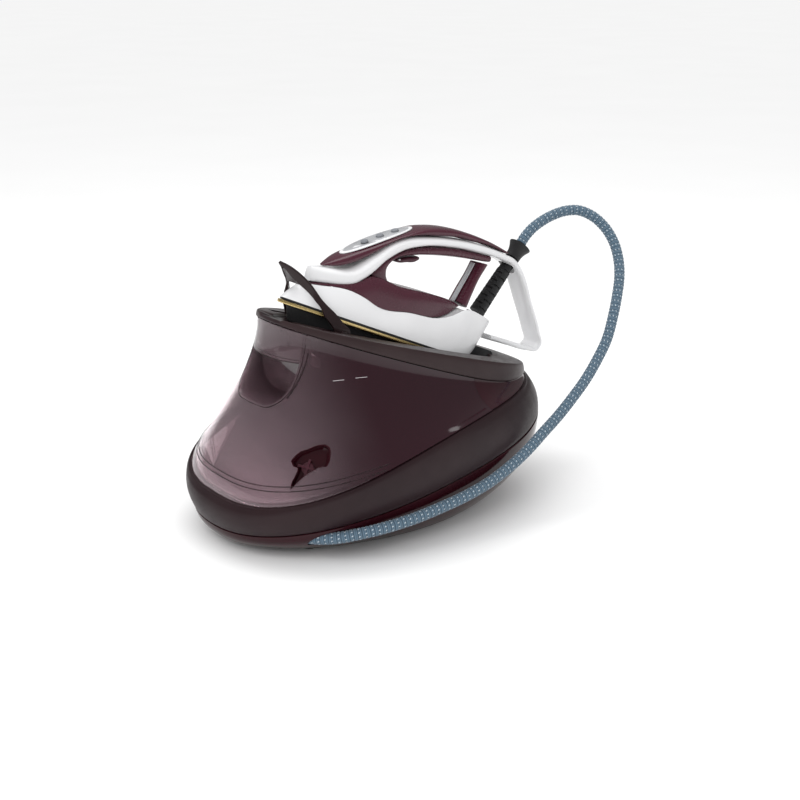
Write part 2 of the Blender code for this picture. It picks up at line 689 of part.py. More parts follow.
def make_hoop(frame):
    """The lock hoop: a strap that rises from both sides of the well to a peak over the iron's toe."""
    near = [[Vector((x, -y, z)) for x, y, z in station] for station in HOOP_SIDE]
    far = [[Vector(point) for point in station] for station in HOOP_SIDE[-2::-1]]
    edges = near + far
    loops = []
    for i, (front, rear) in enumerate(edges):
        before, after = edges[max(i - 1, 0)], edges[min(i + 1, len(edges) - 1)]
        along = after[0] + after[1] - before[0] - before[1]
        inward = along.cross(rear - front).normalized() * HOOP_THICKNESS
        loops.append([front, rear, rear + inward, front + inward])
    hoop = skin("lock_hoop", loops, "dark_brown", frame, origin=HOOP_PIVOT)

    foot, rise, back = Vector((-98.5, 0, 266)), Vector((-0.574, 0, 0.818)), Vector((0.818, 0, 0.574))
    half = [(14, 0), (8.2, 10.9), (3.6, 21)]
    outline = half + [(-y, q) for y, q in reversed(half)]
    loops = [[foot + Vector((0, y, 0)) + rise * q + back * depth for y, q in outline] for depth in (0.5, 3.0)]
    trim(hoop, skin("hoop_web", loops, None, frame), "UNION")
    for side in (1, -1):
        boss = rod("hoop_boss", 4.2, HOOP_PIVOT + Vector((0, side * 43.4, 0)),
                   HOOP_PIVOT + Vector((0, side * 49.8, 0)), None, frame, sides=20)
        trim(hoop, boss, "UNION")
    bore = rod("hoop_bore", HOOP_PIN_RADIUS + 0.4, HOOP_PIVOT - Vector((0, 80, 0)),
               HOOP_PIVOT + Vector((0, 80, 0)), None, frame)
    trim(hoop, bore)


def make_hoop_pins(frame):
    for side, name in ((1, "left"), (-1, "right")):
        rod("hoop_pin_" + name, HOOP_PIN_RADIUS, (HOOP_PIVOT.x, side * 41.8, HOOP_PIVOT.z),
            (HOOP_PIVOT.x, side * 51.2, HOOP_PIVOT.z), "steel", frame, sides=12)


def cut_hoop_slots(platform, frame):
    """Slots in the rest for the hoop's feet, with floors parallel to its underside."""
    for side in (1, -1):
        loops = []
        for x in (-98, -52):
            floor = rim_height(x) + 2.2
            loops.append([(x, side * 40, floor), (x, side * 51.5, floor), (x, side * 51.5, 250), (x, side * 40, 250)])
        trim(platform, skin("hoop_slot", loops, None, frame))


# ---------------------------------------------------------------- the iron

def iron_to_station(point, drop=0.0):
    u, v, w = point
    w -= drop
    return (TIP_X + u * math.cos(IRON_TILT) + w * math.sin(IRON_TILT), v,
            TIP_Z - u * math.sin(IRON_TILT) + w * math.cos(IRON_TILT))


BODY_SPLIT = [(0, 24), (19, 26.8), (65, 35), (82, 33), (104, 28), (144, 33.6), (189, 39.3), (207, 47), (222, 57),
              (258, 58), (300, 52)]
COVER_TOP = [(19, 27.4), (40, 34), (60, 41), (78, 49), (88, 56), (128, 57), (160, 60), (209, 63), (221, 61)]
SOLE_TOP = 5.0


def body_loop(rise, inset=0.0):
    """A level of the white lower body, from the soleplate's outline to its upper edge."""
    loop = []
    for a in angles(44):
        (u0, v0), (u1, v1) = SOLE_EDGE.inset(1.5 + inset).point(a), BODY_EDGE.inset(inset).point(a)
        u = blend(u0, u1, rise)
        loop.append((u, blend(v0, v1, rise ** 1.6), blend(SOLE_TOP + 1.2, curve_at(BODY_SPLIT, u1), rise)))
    return loop


def make_soleplate(frame):
    def level(inset, height):
        return oval_loop(SOLE_EDGE.inset(inset), height, 44)

    skin("soleplate", [level(1.5, 0.0), level(0, 1.0), level(0, 3.6)], "gold", frame)
    skin("heat_shield", [level(2.5, 3.6 + GAP), level(2.5, SOLE_TOP + 0.9)], "black_plastic", frame)
    block = [oval_loop(HEATER_EDGE.inset(i), h, 44) for i, h in ((0, SOLE_TOP + 1.5), (2, 16))]
    skin("heater_block", block, "aluminium", frame)


def make_body(frame):
    centre = 150
    shares = (0.07, 0.22, 0.37, 0.52, 0.67, 0.82)

    def deck(u):
        return curve_at(BODY_SPLIT, u) - 1.8

    def roof(u):
        return deck(u) - 2.6

    levels = [0.0, 0.2, 0.45, 0.75, 1.0]
    outer = [body_loop(t) for t in levels]
    inner = [body_loop(t, 2.6) for t in levels]
    inner[-1] = lowered(inner[-1], 4.4)
    under = [shrink(inner[-1], s, centre, roof) for s in shares]
    top = [shrink(outer[-1], s, centre, deck) for s in shares]
    skin("body_shell", under[::-1] + inner[::-1] + outer + top, "white_gloss", frame,
         start=(centre, 0, roof(centre)), end=(centre, 0, deck(centre)))


def make_mid_cover(frame):
    def low(u):
        return curve_at(BODY_SPLIT, u) + GAP

    def high(u):
        return curve_at(COVER_TOP, u)

    base = oval_loop(COVER_EDGE, low, 44)
    side = oval_loop(COVER_EDGE.inset(1.0), lambda u: max(low(u) + 0.3, blend(low(u), high(u), 0.6)), 44)
    top = oval_loop(COVER_EDGE.inset(7), lambda u: max(low(u) + 0.5, high(u)), 44)
    centre = 130
    shares = (0.17, 0.34, 0.51, 0.68, 0.84)
    inner = [shrink(top, s, centre, high) for s in shares]
    under = [shrink(base, s, centre, low) for s in shares[::-1]]
    skin("mid_cover", under + [base, side, top] + inner, "burgundy_satin", frame,
         start=(centre, 0, low(centre)), end=(centre, 0, high(centre)))


def ribbon(name, stations, finish, frame, origin=(0, 0, 0), square=3.2, sides=16):
    """Sweeps a rounded-square section. Each station gives its outer edge, its inner edge and its
    half width: (u, w), (u, w), half width."""
    loops = []
    for (top_u, top_w), (low_u, low_w), half_width in stations:
        loop = []
        for a in angles(sides):
            cosine, sine = math.cos(a), math.sin(a)
            across = math.copysign(abs(cosine) ** (2 / square), cosine) * half_width
            share = 0.5 + 0.5 * math.copysign(abs(sine) ** (2 / square), sine)
            loop.append((blend(low_u, top_u, share), across, blend(low_w, top_w, share)))
        loops.append(loop)
    return skin(name, loops, finish, frame, origin)


def make_handle(frame):
    frame_band = ribbon("handle_frame", [
        ((23, 46), (24, 33), 5), ((40, 50), (40, 36.5), 16), ((66, 57.6), (66, 44.5), 23), ((87, 78.5), (82, 57), 24),
        ((108, 99.3), (103, 77.5), 22), ((128, 111), (122, 93.5), 21), ((148.7, 118), (143, 104.5), 21),
        ((192, 128.6), (187, 117), 21), ((242, 134.5), (238, 124), 20), ((271, 134.6), (264, 125.5), 18),
        ((292, 133), (288, 125), 16), ((305, 126.5), (299, 120), 15.5), ((341, 93), (335.5, 88.5), 15),
        ((369, 65), (364, 60.5), 15), ((379, 51), (372.5, 51), 15), ((375, 41), (369.5, 45.5), 15),
        ((362, 38), (361, 43.7), 15), ((330, 36), (330, 42.5), 15), ((292.5, 34.5), (292.5, 41), 15)],
        "white_gloss", frame)
    passage = rod("sleeve_passage", 11.2, sleeve_point(55), sleeve_point(90), None, frame, sides=20)
    trim(frame_band, passage)

    ribbon("handle_cover", [
        ((37, 52), (38, 50.4), 4), ((52.6, 66), (57, 57), 14), ((72, 80.2), (77, 71), 17),
        ((84, 88.6), (86.5, 79.6), 18), ((105, 102.7), (108, 100.4), 18), ((125, 115.3), (128, 112), 18),
        ((146, 127), (149, 119), 18), ((161, 132.4), (163, 122.4), 18), ((188, 138.4), (192, 129.6), 18),
        ((215, 140.7), (216, 132.4), 18), ((242, 140.8), (242, 135.4), 17), ((262, 139.8), (262, 135.5), 14),
        ((278, 138.2), (278, 135.3), 12)], "burgundy_satin", frame)

    ribbon("handle_grip", [
        ((86, 58.6), (124, 57.9), 15), ((92, 65.6), (118, 63), 15), ((100.5, 73.7), (114.6, 72), 14.5),
        ((108.5, 81), (117.5, 80), 14.5), ((122, 92.3), (125, 86.6), 14.5), ((143, 103.6), (143.5, 94), 14.5),
        ((165, 109.8), (166, 100.6), 14.5), ((187, 116), (188, 106), 14.5), ((222, 120.8), (223, 113), 14.5),
        ((252, 123.8), (254, 118), 14)], "burgundy_satin", frame)

    ribbon("rear_pillar", [
        ((232, 64.2), (245, 60.2), 14), ((236, 82), (247, 79), 13), ((240, 98), (250, 96), 12),
        ((243, 114.6), (256, 116.2), 12.5)], "burgundy_satin", frame, square=2.6)
    ribbon("pillar_trim", [
        ((228, 64), (231, 63.6), 9), ((232.3, 82), (235.2, 81.8), 9), ((236.3, 98), (239.2, 97.8), 9),
        ((239.2, 112.5), (242.2, 112.8), 9)], "white_gloss", frame)


def sleeve_point(distance):
    """A point on the strain relief's line, by distance from the body."""
    return Vector((271.5, 0, 61.0)) + Vector((0.328, 0, 0.945)).normalized() * distance


def make_strain_relief(frame):
    direction = sleeve_point(1) - sleeve_point(0)
    ribs = 11
    profile = [(0, 0)]
    for i in range(ribs):
        low = 5.4 * i
        profile += [(9.4 - 0.12 * i, low), (9.4 - 0.12 * i, low + 3.4), (8.0 - 0.12 * i, low + 3.8),
                    (8.0 - 0.12 * i, low + 5.0)]
    profile += [(7.4, 62), (7.4, 77), (0, 77)]
    turned("strain_relief", profile[::-1], "black_rubber", frame, sleeve_point(0), direction, 16)
    collar = [(0, 0), (9.0, 0), (9.2, 7), (11, 13), (13.5, 17.5), (13.5, 18.5), (9.0, 18.5), (7.0, 16), (0, 16)]
    turned("hose_collar", collar[::-1], "black_rubber", frame, sleeve_point(77 + GAP), direction, 20)


TRIGGER_PIVOT = (127.0, 0.0, 84.6)


def make_trigger(frame):
    trigger = ribbon("steam_trigger", [
        ((124.5, 84.5), (126, 81.2), 8), ((131, 87), (131.5, 81.5), 9), ((140, 91), (140.5, 84.5), 9),
        ((150, 94.2), (151, 88), 9), ((155, 95.8), (156, 92), 8)], "grey_button", frame, TRIGGER_PIVOT)
    bore = rod("trigger_bore", 1.4, (TRIGGER_PIVOT[0], -20, TRIGGER_PIVOT[2]),
               (TRIGGER_PIVOT[0], 20, TRIGGER_PIVOT[2]), None, frame, sides=10)
    trim(trigger, bore)
    rod("trigger_pin", 1.0, (TRIGGER_PIVOT[0], -11, TRIGGER_PIVOT[2]), (TRIGGER_PIVOT[0], 11, TRIGGER_PIVOT[2]),
        "steel", frame, sides=8)


PANEL_START, PANEL_END = Vector((52.6, 0, 66.0)), Vector((138.5, 0, 123.5))


def panel_point(share, height):
    """A point on or above the handle's front face, where the control panel lies."""
    along = (PANEL_END - PANEL_START).normalized()
    above = Vector((-along.z, 0, along.x))
    crown = 1.5 * math.sin(math.pi * share)
    return PANEL_START + (PANEL_END - PANEL_START) * share + above * (height + crown)


def make_panel(frame):
    widths = [(0.04, 3), (0.14, 8.5), (0.3, 12), (0.5, 13), (0.7, 12.5), (0.86, 9.5), (0.98, 3.5)]
    stations = []
    for share, width in widths:
        top, low = panel_point(share, 2.6), panel_point(share, 0.4)
        stations.append(((top.x, top.z), (low.x, low.z), width))
    panel = ribbon("control_panel", stations, "silver", frame, square=6)
    for name, share in (("steam_level_button", 0.36), ("mode_button", 0.56), ("eco_button", 0.76)):
        hole = rod(name + "_hole", 4.6, panel_point(share, -4), panel_point(share, 8), None, frame)
        trim(panel, hole)
        rod(name, 4.1, panel_point(share, 1.5), panel_point(share, 4.2), "grey_button", frame)


def make_iron(frame):
    make_soleplate(frame)
    make_body(frame)
    make_mid_cover(frame)
    make_handle(frame)
    make_strain_relief(frame)
    make_trigger(frame)
    make_panel(frame)
    for side, name in ((1, "left"), (-1, "right")):
        rod("heel_screw_" + name, 2.6, (236, side * 24, 58.0 + GAP), (236, side * 24, 59.6), "steel", frame, sides=10)


def add_empty(name, location, parent=None, tilt=0.0):
    empty = bpy.data.objects.new(name, None)
    bpy.context.scene.collection.objects.link(empty)
    empty.parent = parent
    empty.location = Vector(location) * MM
    empty.rotation_euler = (0, tilt, 0)
    return empty


def make_hose(frame):
    route = smooth_route(HOSE_ROUTE, 15)
    middle = min(range(len(route)), key=lambda i: (route[i] - Vector(HOSE_SPLIT)).length)
    upper, lower = route[:middle + 1], route[middle:]
    upper[-1] = upper[-1] - (upper[-1] - upper[-2]).normalized() * GAP * 2.5
    tube("hose_upper", upper, HOSE_RADIUS, "hose_braid", frame, HOSE_SIDES)
    tube("hose_lower", lower, HOSE_RADIUS, "hose_braid", frame, HOSE_SIDES)


def clear_scene():
    for piece in list(bpy.data.objects):
        bpy.data.objects.remove(piece, do_unlink=True)


def main():
    clear_scene()
    station = add_empty("station_frame", (STATION_SHIFT, 0, 0))
    iron = add_empty("iron_frame", (TIP_X, 0, TIP_Z), station, IRON_TILT)

    slot = make_lower_casing(station)
    make_band_housing(station, slot)
    make_feet(station)
    make_tank(station)
    make_rear_cover(station)
    make_beam(station)
    make_platform(station)
    make_boiler(station)
    make_connections(station)
    make_hoop(station)
    make_hoop_pins(station)
    make_iron(iron)
    make_hose(station)


main()
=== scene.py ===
"""Looks of the steam generator iron: fine skins, materials, hose, light and camera.

Lengths are in millimetres until a mesh is made. The station frame has X from the toe to the heel,
Y across and Z up from the table. The iron has its own frame: U along the soleplate from its tip,
V across and W up from the soleplate's underside.
"""

import json
import math
from typing import NamedTuple

import bmesh
import bpy
from mathutils import Matrix, Vector

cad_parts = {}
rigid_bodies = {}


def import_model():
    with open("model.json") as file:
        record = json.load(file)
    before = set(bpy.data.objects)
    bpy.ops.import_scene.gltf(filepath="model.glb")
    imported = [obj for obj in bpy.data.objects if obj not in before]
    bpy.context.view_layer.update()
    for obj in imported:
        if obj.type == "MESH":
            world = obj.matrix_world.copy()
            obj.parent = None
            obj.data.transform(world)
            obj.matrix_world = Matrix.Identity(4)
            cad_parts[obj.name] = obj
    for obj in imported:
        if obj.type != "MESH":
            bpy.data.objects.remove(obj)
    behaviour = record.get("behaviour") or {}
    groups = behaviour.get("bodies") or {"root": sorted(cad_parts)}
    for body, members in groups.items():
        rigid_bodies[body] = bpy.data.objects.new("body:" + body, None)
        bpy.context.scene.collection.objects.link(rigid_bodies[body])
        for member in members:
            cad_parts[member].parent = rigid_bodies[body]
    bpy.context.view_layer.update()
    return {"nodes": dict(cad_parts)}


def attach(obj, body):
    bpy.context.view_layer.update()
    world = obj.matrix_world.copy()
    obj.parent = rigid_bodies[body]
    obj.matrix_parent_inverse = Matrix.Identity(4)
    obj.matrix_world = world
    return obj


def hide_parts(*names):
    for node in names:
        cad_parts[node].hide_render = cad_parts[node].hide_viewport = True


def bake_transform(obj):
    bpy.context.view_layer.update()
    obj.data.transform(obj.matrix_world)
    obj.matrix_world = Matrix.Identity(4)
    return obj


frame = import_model()

MM = 0.001
GAP = 0.3
STATION_SHIFT = -19.0
TIP_X, TIP_Z = -117.5, 249.2
IRON_TILT = math.radians(24.4)
STATION = Matrix.Scale(MM, 4) @ Matrix.Translation((STATION_SHIFT, 0, 0))
IRON = STATION @ Matrix.Translation((TIP_X, 0, TIP_Z)) @ Matrix.Rotation(IRON_TILT, 4, "Y")

# Heights of the base's edges, which run along planes that rise or fall towards the heel
FOOT_HEIGHT = 5.0
CASING_TOP, CASING_SLOPE = 63.0, 0.182
BAND_TOP, BAND_SLOPE, BAND_REAR = 118.0, 0.298, 128.0
RIM_LOW, RIM_SLOPE, RIM_REAR = 180.0, -0.388, 131.5
REST_TOP, REST_SLOPE = 196.5, -0.31
WELL_REAR_FLOOR = 133.6
SEAM_HEIGHT, SEAM_SLOPE, SEAM_STEP = 111.0, 0.183, 4.0
WALL = 3.0
TANK_WALL = 2.5
TANK_BACK = 68.0
TANK_CLEARANCE = 0.8
RIM_CLEARANCE = 1.1
# Where the rear cover begins, and the two ends of the beam under the rest
COVER_FRONT = TANK_BACK + 0.4
BEAM_FRONT, BEAM_REAR = -62.0, TANK_BACK + 2.5 - GAP
FLAP_HINGE = Vector((-117.0, 0.0, 195.6))
GRIP_HALF_WIDTH, GRIP_BOTTOM, GRIP_TOP, GRIP_BACK = 45.5, 148.0, 240.0, -110.0

# Points round the base's loops, the rest's, the iron's and the strain relief's
BASE_POINTS, REST_POINTS, IRON_POINTS, SLEEVE_POINTS = 160, 200, 140, 64
BUTTON_HEIGHT = 114

HOSE_RADIUS = 6.2
HOSE_ROUTE = [(221.7, 0, 264.5), (229, 0, 272.3), (238, -1, 280), (251, -3, 287.5), (266, -6, 293.5),
              (282, -11, 297.5), (297, -18, 297.5), (310, -28, 291), (319, -40, 279), (322, -54, 262),
              (318, -67, 243), (309, -78, 227), (296, -88, 208), (280, -98, 187), (262, -107, 165),
              (240, -114, 146), (214, -122, 129), (187, -128.5, 114), (160, -134, 100), (133, -139, 88),
              (107, -143.5, 76), (80, -147.5, 66), (50, -150.5, 57), (16, -152, 50), (-22, -151, 44.5),
              (-58, -148, 40), (-88, -141.5, 36.5), (-113, -130.5, 32.5), (-131, -117.5, 28.5),
              (-144, -102.5, 26), (-152, -87.5, 25), (-156, -73, 25)]
HOOP_PIVOT = Vector((-70.0, 0.0, 216.0))
HOOP_THICKNESS = 3.4
HOOP_SIDE = [((-79, 46.5, 216.2), (-62, 50, 212.2)), ((-81.5, 46, 226.6), (-62.5, 49.5, 221)),
             ((-84.3, 43, 232.3), (-67.4, 47.5, 226.6)), ((-87.1, 40, 237.4), (-71.8, 45, 233.3)),
             ((-87.9, 36, 244.1), (-75.9, 42, 239.7)), ((-89.9, 32, 250), (-80.5, 37.5, 246)),
             ((-91.7, 27.5, 253.6), (-84.5, 32.5, 252.5)), ((-94, 22, 258.1), (-89, 28, 260)),
             ((-95.8, 17.5, 261.7), (-93.6, 23.5, 267.8)), ((-98.9, 13, 266), (-99, 18.3, 275.5)),
             ((-105.7, 7, 274.9), (-104.6, 13, 282.2)), ((-111, 3, 283.5), (-110, 6.5, 287.4)),
             ((-113.5, 0, 286), (-116, 0, 290.6))]


class Oval(NamedTuple):
    """An egg-shaped outline: a superellipse whose front and rear halves differ."""
    front: float
    rear: float
    half_width: float
    widest: float
    nose: float
    tail: float

    def point(self, angle):
        cosine, sine = math.cos(angle), math.sin(angle)
        reach = self.rear - self.widest if cosine > 0 else self.widest - self.front
        power = 2 / (self.tail if cosine > 0 else self.nose)
        x = self.widest + math.copysign(abs(cosine) ** power, cosine) * reach
        return x, math.copysign(abs(sine) ** power, sine) * self.half_width

    def inset(self, distance):
        return Oval(self.front + distance, self.rear - distance, self.half_width - distance,
                    self.widest, self.nose, self.tail)


CASING_FOOT = Oval(-194, 161, 112, -10, 1.94, 1.94)
CASING_EDGE = Oval(-209, 201, 142, 0, 2.25, 2.5)
BAND_EDGE = Oval(-206.5, 200, 144, -22, 2.6, 2.02)
RIM_EDGE = Oval(-130, 195, 99, 63, 2.4, 2.39)
TANK_FOOT = BAND_EDGE.inset(4.0)
TANK_RIM = RIM_EDGE.inset(1.5)
BEAM_EDGE = Oval(-103, 195, 91, 63, 2.4, 2.39)
WELL_EDGE = Oval(-121, 146, 62, 40, 1.9, 4.0)
SOLE_EDGE = Oval(0, 262, 50, 150, 1.75, 3.2)
BODY_EDGE = Oval(19, 288, 36, 150, 1.9, 2.6)
COVER_EDGE = Oval(24, 236, 33, 140, 1.9, 2.1)


def blend(start, end, amount):
    return start + (end - start) * amount


def smoothstep(amount):
    amount = min(1.0, max(0.0, amount))
    return amount * amount * (3 - 2 * amount)


def flare(amount):
    return (amount * amount * (3 - 2 * amount) + math.sin(amount * math.pi / 2)) / 2


def soft_limit(value, limit, side, softness=10.0):
    return value - side * softness * math.log1p(math.exp(side * (value - limit) / softness))


def casing_height(x):
    return CASING_TOP + CASING_SLOPE * x


def band_height(x):
    return soft_limit(BAND_TOP + BAND_SLOPE * x, BAND_REAR, 1)


def rim_height(x):
    return soft_limit(RIM_LOW + RIM_SLOPE * x, RIM_REAR, -1)


def rest_height(x):
    return REST_TOP + REST_SLOPE * x


def sole_height(x):
    return TIP_Z - math.tan(IRON_TILT) * (x - TIP_X)


def beam_depth(x):
    return 20 - 6 * min(1.0, max(0.0, (x + 20) / 88))


def angles(count):
    return [2 * math.pi * i / count for i in range(count)]


def eased(stations, steps):
    """Rows of numbers on a smooth curve through the given rows, spaced by their distance."""
    spans = [max(1e-6, math.dist(a, b)) for a, b in zip(stations, stations[1:])]
    slopes = []
    for i, row in enumerate(stations):
        ahead = [(b - a) / spans[i] for a, b in zip(row, stations[i + 1])] if i < len(spans) else None
        behind = [(b - a) / spans[i - 1] for a, b in zip(stations[i - 1], row)] if i else None
        if ahead and behind:
            share = spans[i - 1] / (spans[i] + spans[i - 1])
            slopes.append([blend(p, q, share) for p, q in zip(behind, ahead)])
        else:
            slopes.append(ahead or behind)
    rows = []
    for i, span in enumerate(spans):
        for step in range(steps):
            t = step / steps
            from_start, from_end = (1 + 2 * t) * (1 - t) ** 2, t * t * (3 - 2 * t)
            leaving, arriving = t * (1 - t) ** 2 * span, t * t * (t - 1) * span
            rows.append([from_start * a + from_end * b + leaving * m + arriving * n for a, b, m, n in
                         zip(stations[i], stations[i + 1], slopes[i], slopes[i + 1])])
    return rows + [list(stations[-1])]


def curve_through(knots):
    """Height of an eased outline given as (position, height) pairs."""
    rows = eased(knots, 8)

    def height(position):
        for (left, low), (right, high) in zip(rows, rows[1:]):
            if position <= right:
                return blend(low, high, max(0.0, (position - left) / (right - left)))
        return rows[-1][1]
    return height


# ---------------------------------------------------------------- the camera and the hose

CAMERA_AZIMUTH, CAMERA_ELEVATION = math.radians(-38), math.radians(19)
CAMERA_AIM = Vector((4.1, -24.0, 118.6))
CAMERA_DISTANCE, CAMERA_LENS = 1500.0, 60.75


def make_camera():
    back = Vector((math.sin(CAMERA_AZIMUTH) * math.cos(CAMERA_ELEVATION),
                   -math.cos(CAMERA_AZIMUTH) * math.cos(CAMERA_ELEVATION), math.sin(CAMERA_ELEVATION)))
    data = bpy.data.cameras.new("camera")
    data.lens = CAMERA_LENS
    data.sensor_width = 36
    camera = bpy.data.objects.new("camera", data)
    bpy.context.scene.collection.objects.link(camera)
    camera.location = (CAMERA_AIM + back * CAMERA_DISTANCE) * MM
    camera.rotation_mode = "QUATERNION"
    camera.rotation_quaternion = (-back).to_track_quat("-Z", "Y")
    bpy.context.scene.camera = camera


def finished(name, mesh, material, body, replaced=(), sharp=35):
    """Links a piece, shades it, puts it on the body it rides and hides the CAD parts that it stands for."""
    piece = bpy.data.objects.new(name, mesh)
    bpy.context.scene.collection.objects.link(piece)
    if material:
        mesh.materials.append(material)
    mesh.shade_smooth()
    mesh.set_sharp_from_angle(angle=math.radians(sharp))
    if body:
        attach(piece, body)
    if replaced:
        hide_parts(*replaced)
    return piece


def face_outwards(bm):
    bmesh.ops.recalc_face_normals(bm, faces=bm.faces)
    if bm.calc_volume(signed=True) < 0:
        bmesh.ops.reverse_faces(bm, faces=bm.faces)


def mesh_from(name, bm, place=STATION):
    """A mesh in metres from millimetre geometry, with its faces turned outwards."""
    bm.transform(place)
    face_outwards(bm)
    mesh = bpy.data.meshes.new(name)
    bm.to_mesh(mesh)
    bm.free()
    return mesh


def skin(name, loops, place=STATION, start=None, end=None, ring=False):
    """Covers a row of equal-sized loops. Each end closes on a point, or else with one flat face;
    a ring joins its last loop to its first."""
    bm = bmesh.new()
    rows = [[bm.verts.new(point) for point in loop] for loop in loops]
    count = len(rows[0])
    pairs = list(zip(rows, rows[1:])) + ([(rows[-1], rows[0])] if ring else [])
    for low, high in pairs:
        for i in range(count):
            j = (i + 1) % count
            bm.faces.new((low[i], low[j], high[j], high[i]))
    if not ring:
        for row, tip in ((rows[0], start), (rows[-1], end)):
            if tip is None:
                bm.faces.new(row)
                continue
            centre = bm.verts.new(tip)
            for i in range(count):
                bm.faces.new((row[i], row[(i + 1) % count], centre))
    return mesh_from(name, bm, place)


def turned(profile, start, turn, sides):
    """Loops round an axis, one for each (radius, height) pair."""
    return [[start + turn @ Vector((r * math.cos(a), r * math.sin(a), h)) for a in angles(sides)]
            for r, h in profile]


def round_bar(name, radius, start, end, place=STATION, sides=32, bevel=0.6):
    """A round bar with softened rims."""
    start, end = Vector(start), Vector(end)
    turn = Vector((0, 0, 1)).rotation_difference(end - start)
    length = (end - start).length
    profile = [(radius - bevel, 0), (radius - bevel * 0.3, bevel * 0.3), (radius, bevel),
               (radius, length - bevel), (radius - bevel * 0.3, length - bevel * 0.3),
               (radius - bevel, length)]
    return skin(name, turned(profile, start, turn, sides), place)


def cut(mesh, cutter, operation="DIFFERENCE"):
    """The mesh after cutting it with, or joining it to, another closed mesh."""
    first, second = bpy.data.objects.new("cut", mesh), bpy.data.objects.new("cutter", cutter)
    for item in (first, second):
        bpy.context.scene.collection.objects.link(item)
    boolean = first.modifiers.new("boolean", "BOOLEAN")
    boolean.object, boolean.operation, boolean.solver = second, operation, "EXACT"
    shaped = bpy.data.meshes.new_from_object(first.evaluated_get(bpy.context.evaluated_depsgraph_get()))
    shaped.name = mesh.name
    for item in (first, second):
        bpy.data.objects.remove(item, do_unlink=True)
    bm = bmesh.new()
    bm.from_mesh(shaped)
    face_outwards(bm)
    bm.to_mesh(shaped)
    bm.free()
    return shaped


def hose_path(spacing):
    """Points along the hose and how far along it each of them lies."""
    fine = [Vector(row) for row in eased(HOSE_ROUTE, 40)]
    far = [0.0]
    for a, b in zip(fine, fine[1:]):
        far.append(far[-1] + (b - a).length)
    count = round(far[-1] / spacing)
    points, index = [], 0
    for i in range(count + 1):
        want = far[-1] * i / count
        while index < len(far) - 2 and far[index + 1] < want:
            index += 1
        share = (want - far[index]) / max(1e-9, far[index + 1] - far[index])
        points.append(fine[index].lerp(fine[index + 1], min(1.0, share)))
    return points, far[-1]


HOSE_SIDES = 28
RIB_PITCH, RIB_STEPS, GROOVE_DEPTH = 4.2, 6, 0.62


def make_hose():
    """A ribbed hose in a braided sleeve, from the iron's collar round to the front of the base."""
    points, length = hose_path(RIB_PITCH / RIB_STEPS)
    bm = bmesh.new()
    layer = bm.loops.layers.uv.new("weave")
    across = Vector((0, -1, 0))
    rows = []
    for i, point in enumerate(points):
        ahead = (points[min(i + 1, len(points) - 1)] - points[max(i - 1, 0)]).normalized()
        across = (across - ahead * across.dot(ahead)).normalized()
        lift = ahead.cross(across)
        rib = abs(math.sin(math.pi * i / RIB_STEPS))
        radius = HOSE_RADIUS - GROOVE_DEPTH * (1 - rib) ** 1.5
        rows.append([bm.verts.new(point + radius * (across * math.cos(a) + lift * math.sin(a)))
                     for a in angles(HOSE_SIDES)])
    step = length / (len(points) - 1)
    for i, (low, high) in enumerate(zip(rows, rows[1:])):
        for k in range(HOSE_SIDES):
            face = bm.faces.new((low[k], low[(k + 1) % HOSE_SIDES], high[(k + 1) % HOSE_SIDES], high[k]))
            for loop, (along, round_) in zip(face.loops, ((i, k), (i, k + 1), (i + 1, k + 1), (i + 1, k))):
                loop[layer].uv = (along * step / RIB_PITCH, round_ / HOSE_SIDES)
    bm.faces.new(rows[0])
    bm.faces.new(rows[-1])
    hose = finished("steam_hose", mesh_from("steam_hose", bm), braid_finish(), None,
                    ("hose_upper", "hose_lower"), 80)
    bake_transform(hose)
    path = [list(STATION @ point) for point in hose_path(8)[0]]
    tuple(path[0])


# ---------------------------------------------------------------- materials

# Where along the tank, in metres, the painted shade that darkens it begins and where it hides what is inside
PAINTED_SHADE_START, PAINTED_SHADE_END = -0.195, -0.085


class Nodes:
    """A short way to build a material's node tree."""

    def __init__(self, name):
        self.material = bpy.data.materials.new(name)
        self.material.use_nodes = True
        self.tree = self.material.node_tree
        self.shader = self.tree.nodes["Principled BSDF"]
        self.place = self.tree.nodes.new("ShaderNodeTexCoord").outputs["Object"]

    def add(self, kind, inputs=(), **settings):
        node = self.tree.nodes.new("ShaderNode" + kind)
        for key, value in settings.items():
            setattr(node, key, value)
        for key, value in dict(inputs).items():
            self.join(value, node.inputs[key])
        return node

    def join(self, value, socket):
        if isinstance(value, bpy.types.NodeSocket):
            self.tree.links.new(value, socket)
        else:
            socket.default_value = value

    def noise(self, scale, detail=2.0, stretch=None, roughness=0.5):
        place = self.place
        if stretch:
            place = self.add("Mapping", {"Vector": place, "Scale": stretch}).outputs[0]
        return self.add("TexNoise", {"Vector": place, "Scale": scale, "Detail": detail,
                                     "Roughness": roughness}).outputs["Fac"]

    def ramp(self, value, low, high, start, end):
        return self.add("MapRange", {"Value": value, "From Min": low, "From Max": high, "To Min": start,
                                     "To Max": end}).outputs[0]

    def mix(self, share, first, second):
        node = self.add("Mix", data_type="RGBA")
        self.join(share, node.inputs["Factor"])
        self.join(first, node.inputs[6])
        self.join(second, node.inputs[7])
        return node.outputs[2]

    def maths(self, operation, first, second=0.0):
        node = self.add("Math", operation=operation)
        self.join(first, node.inputs[0])
        self.join(second, node.inputs[1])
        return node.outputs[0]

    def bump(self, height, strength, depth):
        bump = self.add("Bump", {"Height": height, "Strength": strength, "Distance": depth * MM})
        self.tree.links.new(bump.outputs[0], self.shader.inputs["Normal"])

    def set(self, **inputs):
        for key, value in inputs.items():
            self.join(value, self.shader.inputs[key.replace("_", " ")])


def colour(red, green, blue):
    return (red, green, blue, 1.0)


